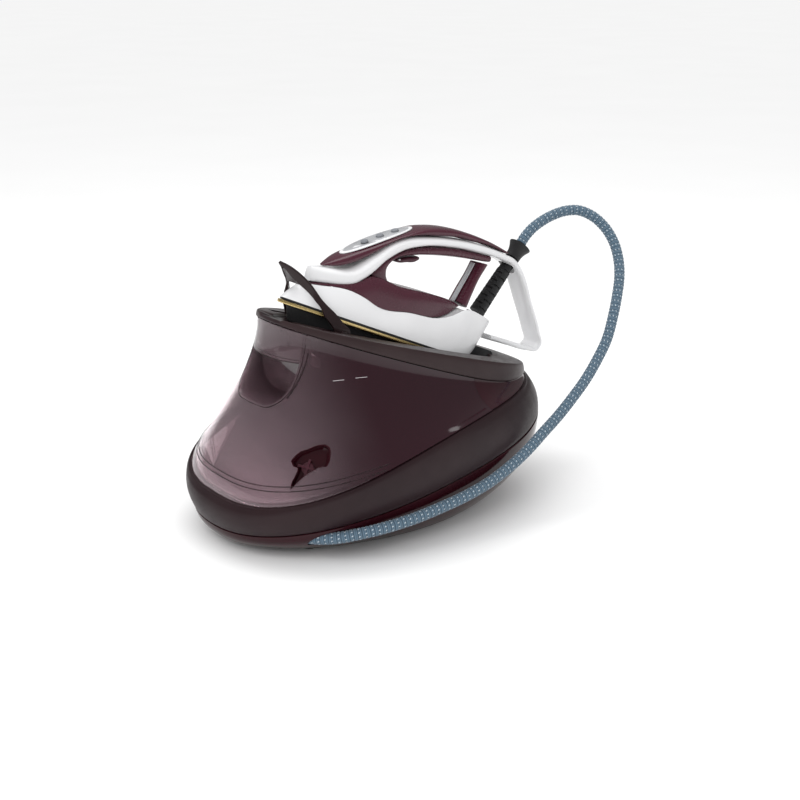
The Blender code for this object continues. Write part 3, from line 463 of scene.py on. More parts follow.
def moulded(name, base, shade, rough, spread=0.05, grain=900, strength=0.08, depth=0.03, patches=16, **extra):
    """Moulded plastic: slow colour drift, uneven gloss and a fine grain."""
    nodes = Nodes(name)
    drift = nodes.ramp(nodes.noise(patches, 3), 0.35, 0.65, 0.0, 1.0)
    nodes.set(Base_Color=nodes.mix(drift, colour(*base), colour(*shade)))
    wear = nodes.maths("MULTIPLY", nodes.noise(patches * 4, 4), nodes.noise(320, 3))
    nodes.set(Roughness=nodes.ramp(wear, 0.12, 0.4, rough - spread, rough + spread))
    nodes.bump(nodes.noise(grain, 2), strength, depth)
    nodes.set(**extra)
    return nodes.material


def brushed(name, base, shade, rough, stretch, metallic=1.0, **extra):
    """Metal or foil with fine brush lines along one direction."""
    nodes = Nodes(name)
    lines = nodes.noise(420, 3, stretch)
    drift = nodes.ramp(nodes.noise(22, 2), 0.3, 0.7, 0.0, 1.0)
    tone = nodes.mix(drift, colour(*base), colour(*shade))
    nodes.set(Base_Color=nodes.mix(nodes.ramp(lines, 0.35, 0.65, 0.0, 0.35), tone, colour(*shade)))
    nodes.set(Roughness=nodes.ramp(lines, 0.3, 0.7, rough - 0.06, rough + 0.08), Metallic=metallic)
    nodes.bump(lines, 0.15, 0.015)
    nodes.set(**extra)
    return nodes.material


def smoked(name, front, rear, front_tint, rear_tint):
    """Smoked clear plastic, clearer at the toe and darker further back, where painted shade darkens it."""
    nodes = Nodes(name)
    lengthwise = nodes.add("SeparateXYZ", {"Vector": nodes.place}).outputs["X"]
    drift = nodes.maths("ADD", lengthwise, nodes.ramp(nodes.noise(9, 2), 0.3, 0.7, -0.012, 0.012))
    # Painted shade: the colour and see-through tint darken towards the tank's rear, by position along it
    dense = nodes.add("MapRange", {"Value": drift, "From Min": PAINTED_SHADE_START, "From Max": PAINTED_SHADE_END, "To Min": 0.0,
                                   "To Max": 1.0}, interpolation_type="SMOOTHSTEP").outputs[0]
    nodes.set(Base_Color=nodes.mix(dense, colour(*front), colour(*rear)))
    nodes.set(Roughness=nodes.ramp(nodes.noise(60, 3), 0.3, 0.7, 0.05, 0.1))
    nodes.bump(nodes.noise(35, 2), 0.04, 0.04)
    clear = nodes.add("BsdfTransparent", {"Color": nodes.mix(dense, colour(*front_tint), colour(*rear_tint))})
    both = nodes.add("AddShader")
    nodes.tree.links.new(clear.outputs[0], both.inputs[0])
    nodes.tree.links.new(nodes.shader.outputs[0], both.inputs[1])
    nodes.tree.links.new(both.outputs[0], nodes.tree.nodes["Material Output"].inputs["Surface"])
    return nodes.material


def braid_finish():
    """Blue-grey braid with pale flecks in slanting rows, and painted shade that darkens it in the rib
    grooves.
    """
    nodes = Nodes("hose_braid")
    weave = nodes.add("UVMap", uv_map="weave").outputs[0]
    along = nodes.add("SeparateXYZ", {"Vector": weave})
    u, v = along.outputs[0], along.outputs[1]

    def wave(value):
        return nodes.maths("SINE", nodes.maths("MULTIPLY", value, 2 * math.pi))

    strands = nodes.maths("MULTIPLY", v, 22.0)
    yarn = nodes.maths("MULTIPLY", wave(nodes.maths("ADD", u, strands)),
                       wave(nodes.maths("SUBTRACT", u, strands)))
    dark, light = colour(0.055, 0.095, 0.135), colour(0.125, 0.195, 0.260)
    tone = nodes.mix(nodes.ramp(yarn, -0.8, 0.8, 0.0, 1.0), dark, light)
    # Painted shade: the braid darkens towards the hose's rib grooves
    painted_groove_shade = nodes.maths("ABSOLUTE", nodes.maths("SINE", nodes.maths("MULTIPLY", u, math.pi)))
    tone = nodes.mix(nodes.ramp(painted_groove_shade, 0.0, 0.55, 0.9, 0.0), tone, colour(0.030, 0.055, 0.085))
    slant = nodes.maths("ADD", nodes.maths("MULTIPLY", v, 9.0), nodes.maths("MULTIPLY", u, 0.31))
    cells = nodes.add("CombineXYZ", {"X": nodes.maths("MULTIPLY", u, 0.62), "Y": slant}).outputs[0]
    cell = nodes.add("VectorMath", {0: cells}, operation="FRACTION").outputs[0]
    centre = nodes.add("VectorMath", {0: cell, 1: (0.5, 0.5, 0.0)}, operation="DISTANCE").outputs["Value"]
    fleck = nodes.ramp(centre, 0.10, 0.17, 0.8, 0.0)
    nodes.set(Base_Color=nodes.mix(fleck, tone, colour(0.62, 0.68, 0.72)))
    nodes.set(Roughness=nodes.ramp(nodes.noise(900, 3), 0.3, 0.7, 0.70, 0.92))
    nodes.bump(nodes.maths("ADD", yarn, nodes.maths("MULTIPLY", fleck, 0.8)), 0.5, 0.25)
    nodes.set(Sheen_Weight=0.25, Sheen_Roughness=0.4)
    return nodes.material


def cast_finish(name, base, shade, metallic, rough):
    """Sand-cast or drawn metal with a speckled surface."""
    nodes = Nodes(name)
    speckle = nodes.noise(700, 4)
    nodes.set(Base_Color=nodes.mix(nodes.ramp(speckle, 0.35, 0.65, 0.0, 1.0), colour(*base), colour(*shade)))
    nodes.set(Roughness=nodes.ramp(speckle, 0.3, 0.7, rough - 0.08, rough + 0.12), Metallic=metallic)
    nodes.bump(speckle, 0.3, 0.06)
    return nodes.material


def make_materials():
    return {
        "band": moulded("band_satin", (0.022, 0.010, 0.012), (0.018, 0.008, 0.010), 0.42,
                        Specular_IOR_Level=0.22),
        "rim": moulded("rim_satin", (0.034, 0.020, 0.021), (0.028, 0.016, 0.017), 0.38,
                       Specular_IOR_Level=0.22),
        "hoop": moulded("hoop_satin", (0.022, 0.012, 0.013), (0.018, 0.009, 0.010), 0.33,
                        Specular_IOR_Level=0.3),
        "casing": moulded("casing_gloss", (0.026, 0.004, 0.007), (0.020, 0.003, 0.005), 0.12, 0.04, 300, 0.02,
                           Specular_IOR_Level=0.25),
        "cover": moulded("cover_gloss", (0.026, 0.004, 0.008), (0.020, 0.003, 0.006), 0.12, 0.04, 300, 0.02,
                          Specular_IOR_Level=0.35),
        "beam": moulded("beam_gloss", (0.050, 0.008, 0.016), (0.040, 0.006, 0.012), 0.30, 0.05, 300, 0.03),
        "burgundy": moulded("burgundy_satin", (0.070, 0.014, 0.027), (0.060, 0.011, 0.022), 0.26),
        "white": moulded("white_gloss", (0.78, 0.78, 0.79), (0.74, 0.74, 0.75), 0.20, 0.05, 400, 0.02),
        "button": moulded("button_grey", (0.23, 0.24, 0.26), (0.18, 0.19, 0.21), 0.36),
        "trigger": moulded("trigger_burgundy", (0.060, 0.012, 0.023), (0.050, 0.010, 0.019), 0.34),
        "mark": moulded("mark_white", (0.60, 0.57, 0.58), (0.50, 0.47, 0.48), 0.45),
        "rubber": moulded("soft_rubber", (0.010, 0.010, 0.011), (0.015, 0.015, 0.016), 0.62, 0.1, 900, 0.2,
                          0.05),
        "plastic": moulded("black_moulding", (0.012, 0.012, 0.013), (0.018, 0.018, 0.020), 0.42),
        # Dark finish: painted shade on the beads along the tank's seams and gaps, and the dark lip and well
        # of the rest
        "painted_seam_shade_and_dark_rest": moulded("painted_seam_shade_dark_rest", (0.012, 0.003, 0.005), (0.018, 0.005, 0.008), 0.35),
        "board": moulded("board_lacquer", (0.02, 0.13, 0.05), (0.03, 0.19, 0.08), 0.35, 0.1, 300, 0.3, 0.1,
                         120),
        "silver": brushed("panel_silver", (0.66, 0.67, 0.69), (0.56, 0.57, 0.59), 0.30, (1, 14, 1), 0.55),
        "gold": brushed("sole_gold", (0.90, 0.72, 0.36), (0.70, 0.53, 0.22), 0.27, (1, 12, 12)),
        "steel": brushed("turned_steel", (0.58, 0.58, 0.60), (0.45, 0.45, 0.47), 0.28, (8, 1, 1)),
        "aluminium": cast_finish("cast_aluminium", (0.62, 0.62, 0.62), (0.48, 0.48, 0.49), 1.0, 0.45),
        "brass": cast_finish("turned_brass", (0.72, 0.52, 0.20), (0.55, 0.38, 0.13), 1.0, 0.30),
        # The tank's finishes are a smoked tint, with painted shade darkening them towards the rear
        "tank": smoked("tank_smoked_painted_shade", (0.052, 0.038, 0.043), (0.020, 0.004, 0.008), (0.86, 0.81, 0.825),
                       (0.02, 0.006, 0.008)),
        "clear": smoked("tank_clear_edge_painted_shade", (0.022, 0.012, 0.015), (0.020, 0.005, 0.008), (0.34, 0.25, 0.28),
                        (0.02, 0.006, 0.008)),
        "haze": smoked("tank_haze_painted_shade", (0.40, 0.33, 0.35), (0.36, 0.29, 0.31), (0.35, 0.30, 0.31),
                       (0.30, 0.25, 0.26)),
    }


# ---------------------------------------------------------------- shared shapes

def oval_loop(oval, height, count=BASE_POINTS):
    points = [oval.point(a) for a in angles(count)]
    return [(x, y, height(x) if callable(height) else height) for x, y in points]


def shrink(loop, share, centre, height):
    """A loop drawn in towards (centre, 0) by a share, at new heights."""
    points = [(blend(x, centre, share), y * (1 - share)) for x, y, _ in loop]
    return [(x, y, height(x)) for x, y in points]


def inset_loop(loop, distance):
    """A closed loop moved inwards by a distance."""
    area = sum(a[0] * b[1] - b[0] * a[1] for a, b in zip(loop, loop[1:] + loop[:1]))
    side = math.copysign(distance, area)
    moved = []
    for before, here, after in zip(loop[-1:] + loop[:-1], loop, loop[1:] + loop[:1]):
        first = Vector((here[0] - before[0], here[1] - before[1])).normalized()
        second = Vector((after[0] - here[0], after[1] - here[1])).normalized()
        miter = Vector((-first.y - second.y, first.x + second.x)).normalized()
        stretch = min(2.0, 1 / max(0.3, miter.dot(Vector((-first.y, first.x)))))
        moved.append((here[0] + side * stretch * miter.x, here[1] + side * stretch * miter.y, here[2]))
    return moved


def lowered(loop, drop):
    return [(x, y, z - drop) for x, y, z in loop]


def ribbon(name, stations, place=IRON, square=3.2, sides=36, steps=6):
    """Sweeps a rounded-square section along an eased row of (u, w), (u, w), half width stations."""
    rows = eased([(*top, *low, half) for top, low, half in stations], steps)
    loops = []
    for top_u, top_w, low_u, low_w, half in rows:
        loop = []
        for a in angles(sides):
            cosine, sine = math.cos(a), math.sin(a)
            across = math.copysign(abs(cosine) ** (2 / square), cosine) * half
            share = 0.5 + 0.5 * math.copysign(abs(sine) ** (2 / square), sine)
            loop.append((blend(low_u, top_u, share), across, blend(low_w, top_w, share)))
        loops.append(loop)
    for end, inner in ((0, 1), (-1, -2)):
        middle = sum((Vector(p) for p in loops[end]), Vector()) / sides
        outward = (middle - sum((Vector(p) for p in loops[inner]), Vector()) / sides).normalized()
        capped = [tuple(Vector(p).lerp(middle, 0.12)) for p in loops[end]]
        loops[end] = [tuple(Vector(p) - outward * 0.4) for p in loops[end]]
        loops.insert(0 if end == 0 else len(loops), capped)
    return skin(name, loops, place)


# ---------------------------------------------------------------- the base

def hose_cutter():
    """The channel that the end of the hose needs where it enters the base."""
    points = [Vector(row) for row in eased(HOSE_ROUTE[-6:], 4)]
    loops = []
    for i, point in enumerate(points):
        ahead = points[min(i + 1, len(points) - 1)] - points[max(i - 1, 0)]
        across = ahead.cross(Vector((0, 0, 1))).normalized()
        lift = across.cross(ahead).normalized()
        loops.append([point + (HOSE_RADIUS + 1) * (across * math.cos(a) + lift * math.sin(a))
                      for a in angles(24)])
    return skin("hose_slot", loops)


def casing_loop(rise, inset=0.0):
    """A loop round the lower casing, from its foot at rise 0 to its edge at 1."""
    foot, edge = CASING_FOOT.inset(inset), CASING_EDGE.inset(inset)
    swell = 1 - (1 - rise) ** 2.2
    loop = []
    for a in angles(BASE_POINTS):
        (x0, y0), (x1, y1) = foot.point(a), edge.point(a)
        x = blend(x0, x1, swell)
        loop.append((x, blend(y0, y1, swell), blend(FOOT_HEIGHT, casing_height(x), rise)))
    return loop


def make_casing(finish):
    levels = [0.0, 0.05, 0.1, 0.16, 0.24, 0.32, 0.42, 0.52, 0.62, 0.72, 0.82, 0.92, 0.975]
    inner = [lowered(casing_loop(t, WALL), -WALL if t == 0 else 0) for t in levels]
    top = [casing_loop(0.99, 0.9)]
    outer = [casing_loop(t) for t in reversed(levels)]
    under = inset_loop(outer[-1], 6)
    mesh = skin("casing_skin", inner + top + outer + [under], start=(-10, 0, FOOT_HEIGHT + WALL),
                end=(-10, 0, FOOT_HEIGHT))
    finished("casing_skin", cut(mesh, hose_cutter()), finish["casing"], "base", ["lower_casing"])


def band_loop(rise, inset=0.0):
    """A loop round the band, from the casing's edge at rise 0 to the band's top edge at 1."""
    loop = []
    for a in angles(BASE_POINTS):
        (x0, y0), (x1, y1) = CASING_EDGE.inset(inset).point(a), BAND_EDGE.inset(inset).point(a)
        bulge = 1 + 0.022 * math.sin(math.pi * rise)
        x = blend(x0, x1, rise)
        loop.append((x * bulge, blend(y0, y1, rise) * bulge,
                     blend(casing_height(x0) + GAP, band_height(x1), rise)))
    return loop


def make_band(finish):
    def tray(x):
        return band_height(x) - 0.2

    under = oval_loop(BAND_EDGE.inset(WALL + 2), lambda x: band_height(x) - WALL)
    edge = oval_loop(BAND_EDGE.inset(2.6), tray)
    top = [shrink(edge, s, -5, tray) for s in (0.7, 0.4, 0.15, 0.04)] + [edge]
    lip = [oval_loop(BAND_EDGE.inset(1.7), band_height),
           oval_loop(BAND_EDGE.inset(0.6), lambda x: band_height(x) - 0.7), lowered(band_loop(1.0), 2.0)]
    outer = [band_loop(t) for t in (0.9, 0.8, 0.7, 0.6, 0.5, 0.4, 0.3, 0.2, 0.1, 0.03)]
    outer += [lowered(band_loop(0.0, 0.6), -0.1)]
    inner = [band_loop(t, WALL) for t in (0.0, 0.25, 0.5, 0.75)] + [under]
    inner += [shrink(under, s, -5, lambda x: band_height(x) - WALL) for s in (0.4, 0.7)]
    mesh = skin("band_skin", top + lip + outer + inner, start=(-5, 0, tray(-5)),
                end=(-5, 0, band_height(-5) - WALL))
    button_hole = round_bar("button_hole", 11.5, (180, 0, BUTTON_HEIGHT), (220, 0, BUTTON_HEIGHT))
    inlet_hole = round_bar("inlet_hole", 8.3, (180, 52, 112), (220, 62, 112))
    for cutter in (hose_cutter(), button_hole, inlet_hole):
        mesh = cut(mesh, cutter)
    finished("band_skin", mesh, finish["band"], "base", ["band_housing"])


def flank(angle, rise):
    """A point of the skin that the tank and the rear cover share, from the tray to the rest."""
    (x0, y0), (x1, y1) = TANK_FOOT.point(angle), TANK_RIM.point(angle)
    swell = flare(rise)
    return (blend(x0, x1, swell), blend(y0, y1, swell),
            blend(band_height(x0) + TANK_CLEARANCE, rim_height(x1) - RIM_CLEARANCE, rise))


def flank_normal(angle, rise):
    """The skin's outward direction."""
    here = Vector(flank(angle, rise))
    around = Vector(flank(angle + 0.01, rise)) - here
    return around.cross(Vector(flank(angle, rise + 0.01)) - here).normalized()


def split_angle(rise, x):
    """The angle at which the skin crosses this x."""
    low, high = 0.0, math.pi
    for _ in range(40):
        middle = (low + high) / 2
        if flank(middle, rise)[0] > x:
            low = middle
        else:
            high = middle
    return low


def inset_curve(curve, distance):
    """An open curve moved sideways, with its two ends kept in their plane across."""
    moved = []
    for before, here, after in zip(curve[:1] + curve[:-1], curve, curve[1:] + curve[-1:]):
        along = Vector((after[0] - before[0], after[1] - before[1])).normalized()
        moved.append((here[0] - along.y * distance, here[1] + along.x * distance, here[2]))
    for i in (0, -1):
        x, y, z = curve[i]
        moved[i] = (x, y - math.copysign(abs(distance) * 1.05, y), z)
    return moved


def split_loop(rise, x, front, wall_top, inset=0.0, skin_points=132, wall_points=10):
    """A loop round the part of the skin before or behind x, closed by a straight wall across."""
    x += -inset if front else inset
    corner = split_angle(rise, x)
    start, end = (corner, 2 * math.pi - corner) if front else (corner, -corner)
    curve = [flank(blend(start, end, i / (skin_points - 1)), rise) for i in range(skin_points)]
    if inset:
        curve = inset_curve(curve, inset if front else -inset)
    first, last = curve[0], curve[-1]
    height = min(last[2], blend(band_height(x) + TANK_CLEARANCE, wall_top, rise))
    shares = [blend(0.05, 0.95, i / (wall_points - 5)) for i in range(wall_points - 4)]
    shares = [0.012, 0.032] + shares + [0.968, 0.988]
    wall = [(x, blend(last[1], first[1], share), height) for share in shares]
    if rise > 0.5 and last[2] > height:
        for i in (0, 1, -2, -1):
            wall[i] = (*wall[i][:2], last[2])
    return curve + wall


TANK_LEVELS = [0.0, 0.012, 0.05, 0.1, 0.16, 0.22, 0.28, 0.34, 0.4, 0.46, 0.52, 0.58, 0.64, 0.7, 0.76, 0.82,
               0.88, 0.94, 1.0]


def tank_shell(name):
    back_top = rim_height(TANK_BACK) - beam_depth(TANK_BACK) - 1.5
    outer = [split_loop(t, TANK_BACK, True, back_top) for t in TANK_LEVELS]
    inner = [split_loop(t, TANK_BACK, True, back_top, TANK_WALL) for t in TANK_LEVELS[2:]]
    inner.insert(0, lowered(inset_loop(split_loop(0.0, TANK_BACK, True, back_top, TANK_WALL), 3), -TANK_WALL))
    middle = -60

    def floor(x):
        return band_height(x) + TANK_CLEARANCE

    def bed(x):
        return floor(x) + TANK_WALL

    outer[0] = inset_loop(outer[0], 0.7)
    below = [shrink(outer[0], s, middle, floor) for s in (0.03, 0.3, 0.55, 0.8)]
    above = [shrink(inner[0], s, middle, bed) for s in (0.8, 0.55, 0.3)]
    return skin(name, above + inner + outer[::-1] + below, start=(middle, 0, bed(middle)),
                end=(middle, 0, floor(middle)))


def tank_solid():
    """The tank's outside as one solid, up to the rim all the way across."""
    loops = []
    for rise in TANK_LEVELS:
        corner = split_angle(rise, TANK_BACK)
        loops.append([flank(blend(corner, 2 * math.pi - corner, i / 131), rise) for i in range(132)])
    middle = -60
    return skin("tank_outside", loops, start=(middle, 0, band_height(middle) + TANK_CLEARANCE),
                end=(middle, 0, rim_height(middle) - RIM_CLEARANCE))


def grip_outline(half_width, bottom, corner, top=GRIP_TOP):
    """The pocket's outline seen from the front, round at its two lower corners."""
    points = [(half_width, top)]
    for i in range(19):
        a = math.radians(-5 * i)
        points.append((half_width - corner + corner * math.cos(a), bottom + corner + corner * math.sin(a)))
    return points + [(-y, z) for y, z in reversed(points)]


def prism_x(name, outline, start, end):
    return skin(name, [[(x, y, z) for y, z in outline] for x in (start, end)])


# The recess over the outlet valve, and the level mark: skin coordinates as (degrees round, rise)
RECESS = [(212.1, 0.271), (213.5, 0.305), (218.0, 0.338), (222.9, 0.362), (226.6, 0.353), (228.6, 0.318),
          (229.8, 0.256), (225.5, 0.222), (220.5, 0.178), (215.6, 0.1375), (216.6, 0.205), (214.0, 0.240)]
RECESS_MIDDLE = (221.5, 0.28)
LEVEL_MARK = [((219.7, 0.751), (224.4, 0.769)), ((229.0, 0.792), (233.6, 0.812))]


def on_skin(degrees, rise, out=0.0):
    """A point on the tank's skin, or out from it."""
    angle = math.radians(degrees)
    return Vector(flank(angle, rise)) + flank_normal(angle, rise) * out


def recess_loop(out, grow=1.0):
    """The valve recess's outline, out from the skin, or drawn in to its middle."""
    rows = eased(RECESS + RECESS[:1], 3)[:-1]
    middle = [sum(row[k] for row in rows) / len(rows) for k in (0, 1)]
    return [on_skin(blend(middle[0], a, grow), blend(middle[1], r, grow), out) for a, r in rows]


def skin_bead(name, line, width, out, under=0.6):
    """A thin raised bead that follows the tank's skin along (degrees, rise) pairs."""
    loops = []
    for i, (degrees, rise) in enumerate(line):
        here, normal = on_skin(degrees, rise), flank_normal(math.radians(degrees), rise)
        before, after = line[max(i - 1, 0)], line[min(i + 1, len(line) - 1)]
        side = (on_skin(*after) - on_skin(*before)).cross(normal).normalized() * width / 2
        loops.append([here - side - normal * under, here - side + normal * out * 0.5,
                      here - side * 0.5 + normal * out, here + side * 0.5 + normal * out,
                      here + side + normal * out * 0.5, here + side - normal * under])
    return skin(name, loops)


def seam_line(height):
    """Where a sloping plane crosses the tank's skin, as (degrees, rise) pairs."""
    line = []
    for step in range(111):
        degrees = blend(104, 256, step / 110)
        low, high = 0.0, 0.6
        for _ in range(26):
            middle = (low + high) / 2
            x, _, z = flank(math.radians(degrees), middle)
            low, high = (middle, high) if z < height + SEAM_SLOPE * x else (low, middle)
        if low > 0.004:
            line.append((degrees, low))
    return line


def front_place(y, z):
    """The (degrees, rise) of the point of the tank's front that lies at this side place and height."""
    low_rise, high_rise = 0.0, 1.0
    for _ in range(24):
        rise = (low_rise + high_rise) / 2
        low, high = 90.0, 270.0
        for _ in range(24):
            degrees = (low + high) / 2
            low, high = (degrees, high) if flank(math.radians(degrees), rise)[1] > y else (low, degrees)
        if flank(math.radians(degrees), rise)[2] < z:
            low_rise = rise
        else:
            high_rise = rise
    return degrees, rise


def make_grip_lines(finish):
    """Raised beads on the moulded edges round the grip pocket and under the flap, coloured dark as painted
    shade for the shade along these edges and gaps.
    """
    outline = [(y, z) for y, z in grip_outline(GRIP_HALF_WIDTH + 0.2, GRIP_BOTTOM - 0.2, 26, 213)]
    left, right = [(outline[0][0], 195)], [(outline[-1][0], 195)]
    dense = eased(outline[:1] + left + outline[1:-1] + right + outline[-1:], 2)
    shares = [i / 24 for i in range(25)]
    lines = {"grip_edge": (dense, 1.0),
             "flap_edge": ([(blend(43, -43, s), 194.2) for s in shares], 0.8),
             "flap_edge_top": ([(blend(43, -43, s), 197.0) for s in shares], 0.5),
             "grip_wall": ([(-49.0 + 4.5 * s ** 3, blend(205, 160, s)) for s in shares], 1.6)}
    for name, (points, width) in lines.items():
        bead = skin_bead(name, [front_place(y, z) for y, z in points], width, 0.22)
        finished(name, bead, finish["painted_seam_shade_and_dark_rest"], "filler_flap" if name.startswith("flap") else "tank", ())


def make_tank(finish):
    shell = tank_shell("tank_skin")
    window = grip_outline(GRIP_HALF_WIDTH + GAP, GRIP_BOTTOM - GAP, 26)
    shell = cut(shell, prism_x("grip_window", window, -260, GRIP_BACK + GAP))
    hole = skin("recess_hole", [recess_loop(8), recess_loop(-5)], start=on_skin(*RECESS_MIDDLE, 8),
                end=on_skin(*RECESS_MIDDLE, -5))
    shell = cut(shell, hole)
    finished("tank_skin", shell, finish["tank"], "tank", ["water_tank"], 40)

    pocket = prism_x("grip_skin", grip_outline(GRIP_HALF_WIDTH, GRIP_BOTTOM, 26, 227), -200, GRIP_BACK)
    pocket = cut(pocket, tank_solid(), "INTERSECT")
    pocket = cut(pocket, prism_x("hollow", grip_outline(GRIP_HALF_WIDTH - 2, GRIP_BOTTOM + 2, 24), -260,
                                 GRIP_BACK - 2.2))
    pocket = cut(pocket, round_bar("mouth", 12, (GRIP_BACK - 15, 0, 208), (GRIP_BACK + 10, 0, 208)))
    finished("grip_skin", pocket, finish["tank"], "tank", ["grip_pocket"], 40)
    make_flap(finish)
    make_grip_lines(finish)
    make_tank_details(finish)


def make_flap(finish):
    half_width, low = GRIP_HALF_WIDTH - 2.4, FLAP_HINGE.z - 1.6
    loops = []
    for x in (-140, -114.6):
        high = rim_height(x) - 1.6
        loops.append([(x, half_width, high), (x, half_width, low), (x, -half_width, low),
                      (x, -half_width, high)])
    flap = cut(skin("flap_skin", loops), tank_shell("flap_wall"), "INTERSECT")
    bore = round_bar("flap_bore", 1.9, (FLAP_HINGE.x, -60, FLAP_HINGE.z), (FLAP_HINGE.x, 60, FLAP_HINGE.z))
    finished("flap_skin", cut(flap, bore), finish["tank"], "filler_flap", ["filler_flap"], 40)


def thin_plate(name, corners, thickness, material):
    """A flat plate inside the tank through the corners, given in order round it."""
    corners = [Vector(c) for c in corners]
    normal = (corners[1] - corners[0]).cross(corners[2] - corners[0]).normalized() * thickness / 2
    middle = sum(corners, Vector()) / len(corners)
    loops = [[c.lerp(middle, 0.05) - normal for c in corners], [c - normal * 0.6 for c in corners],
             [c + normal * 0.6 for c in corners], [c.lerp(middle, 0.05) + normal for c in corners]]
    finished(name, skin(name, loops), material, "tank", ())


def make_tank_details(finish):
    # Dark beads along the tank's seam lines: painted shade standing in for the shade in seam grooves
    for name, height in (("tank_seam_low", SEAM_HEIGHT), ("tank_seam_high", SEAM_HEIGHT + SEAM_STEP)):
        mesh = skin_bead(name, seam_line(height), 0.9, 0.25)
        finished(name, mesh, finish["painted_seam_shade_and_dark_rest"], "tank", ())
    for name, (start, end) in zip(("level_mark_front", "level_mark_rear"), LEVEL_MARK):
        line = [(blend(start[0], end[0], i / 6), blend(start[1], end[1], i / 6)) for i in range(7)]
        finished(name, skin_bead(name, line, 0.55, 0.2), finish["mark"], "tank", ())
    hollow = ((-9.8, 0.5), (-9, 0.9), (-6, 1.0), (0.25, 1.0), (0.25, 0.95), (-6, 0.92), (-8, 0.82),
              (-8.4, 0.5))
    cup = skin("valve_recess", [recess_loop(out, grow) for out, grow in hollow],
               start=on_skin(*RECESS_MIDDLE, -9.8), end=on_skin(*RECESS_MIDDLE, -8.4))
    finished("valve_recess", cup, finish["casing"], "tank", ["outlet_valve"])
    make_valve(finish)
    thin_plate("tank_fin", [(-158, 22, 127), (-163, 88, 76), (-188, 26, 76), (-180, 24, 94)], 1.6,
               finish["clear"])
    shards = {"clip_window_front": [(-112, -36, 208), (-107, -47, 206), (-106, -47, 192), (-112, -38, 187)],
              "clip_window_rear": [(-111, -49, 205), (-104, -57, 197), (-106, -56, 188), (-111, -50, 191)]}
    for name, corners in shards.items():
        thin_plate(name, corners, 1.2, finish["haze"])
    for i, y in enumerate((26, 9, -8)):
        corners = [(-114, y, 224), (-122, y, 216), (-124, y, 199), (-114, y, 197)]
        thin_plate(f"flap_rib_{i}", corners, 1.6, finish["clear"])


def make_valve(finish):
    """The cross-shaped head of the outlet valve in its recess."""
    middle = on_skin(220.5, 0.232, -5.5)
    normal = flank_normal(math.radians(218.5), 0.235)
    up = (on_skin(218.5, 0.30) - on_skin(218.5, 0.17)).normalized()
    side = normal.cross(up).normalized()
    ring = round_bar("valve_head", 6.2, middle - normal * 3, middle + normal * 1.0)
    for first, second, reach, half in ((up, side, 9.0, 1.3), (side, up, 10.5, 1.3)):
        loops = [[middle + normal * out + first * a * reach * grow + second * b * half * grow
                  for a, b in ((-1, -1), (1, -1), (1, 1), (-1, 1))]
                 for out, grow in ((0.2, 1), (2.2, 1), (2.8, 0.85))]
        ring = cut(ring, skin("valve_arm", loops), "UNION")
    finished("valve_head", ring, finish["beam"], "tank", ())


def make_rear_cover(finish):
    top = rim_height(COVER_FRONT) - RIM_CLEARANCE - 2.0
    levels = [0.02, 0.04] + TANK_LEVELS[2:]
    outer = [split_loop(t, COVER_FRONT, False, top, 0.5 if t < 0.03 else 0, 110) for t in levels]
    inner = [split_loop(t, COVER_FRONT, False, top, WALL, 110) for t in reversed(levels)]
    finished("rear_cover_skin", skin("rear_cover_skin", outer + inner, ring=True), finish["cover"], "base",
             ["rear_cover"])


def make_beam(finish):
    def low(x):
        return rim_height(x) - beam_depth(x)

    def high(x):
        return rim_height(x) - 2.0

    middle = -15
    plan = [(max(min(x, BEAM_REAR), BEAM_FRONT), y, 0) for x, y, _ in oval_loop(BEAM_EDGE, 0)]
    shares = (0.0, 0.012, 0.2, 0.4, 0.6, 0.8)
    under = [shrink(plan, s, middle, low) for s in shares[:0:-1]]
    side = [shrink(plan, 0, middle, lambda x: low(x) + 1.0), shrink(plan, 0, middle, lambda x: high(x) - 0.5)]
    over = [shrink(plan, s, middle, high) for s in shares[1:]]
    mesh = skin("beam_skin", under + side + over, start=(middle, 0, low(middle)),
                end=(middle, 0, high(middle)))
    finished("beam_skin", mesh, finish["beam"], "base", ["rest_beam"])


LIP_DROP, LIP_HALF_WIDTH, LIP_RUN = 2.0, 17.0, 4.0


def well_floor(x):
    """The floor under the hot soleplate, level again behind its heel."""
    return max(WELL_REAR_FLOOR, min(rest_height(x) - 3, sole_height(x) - 6.5))


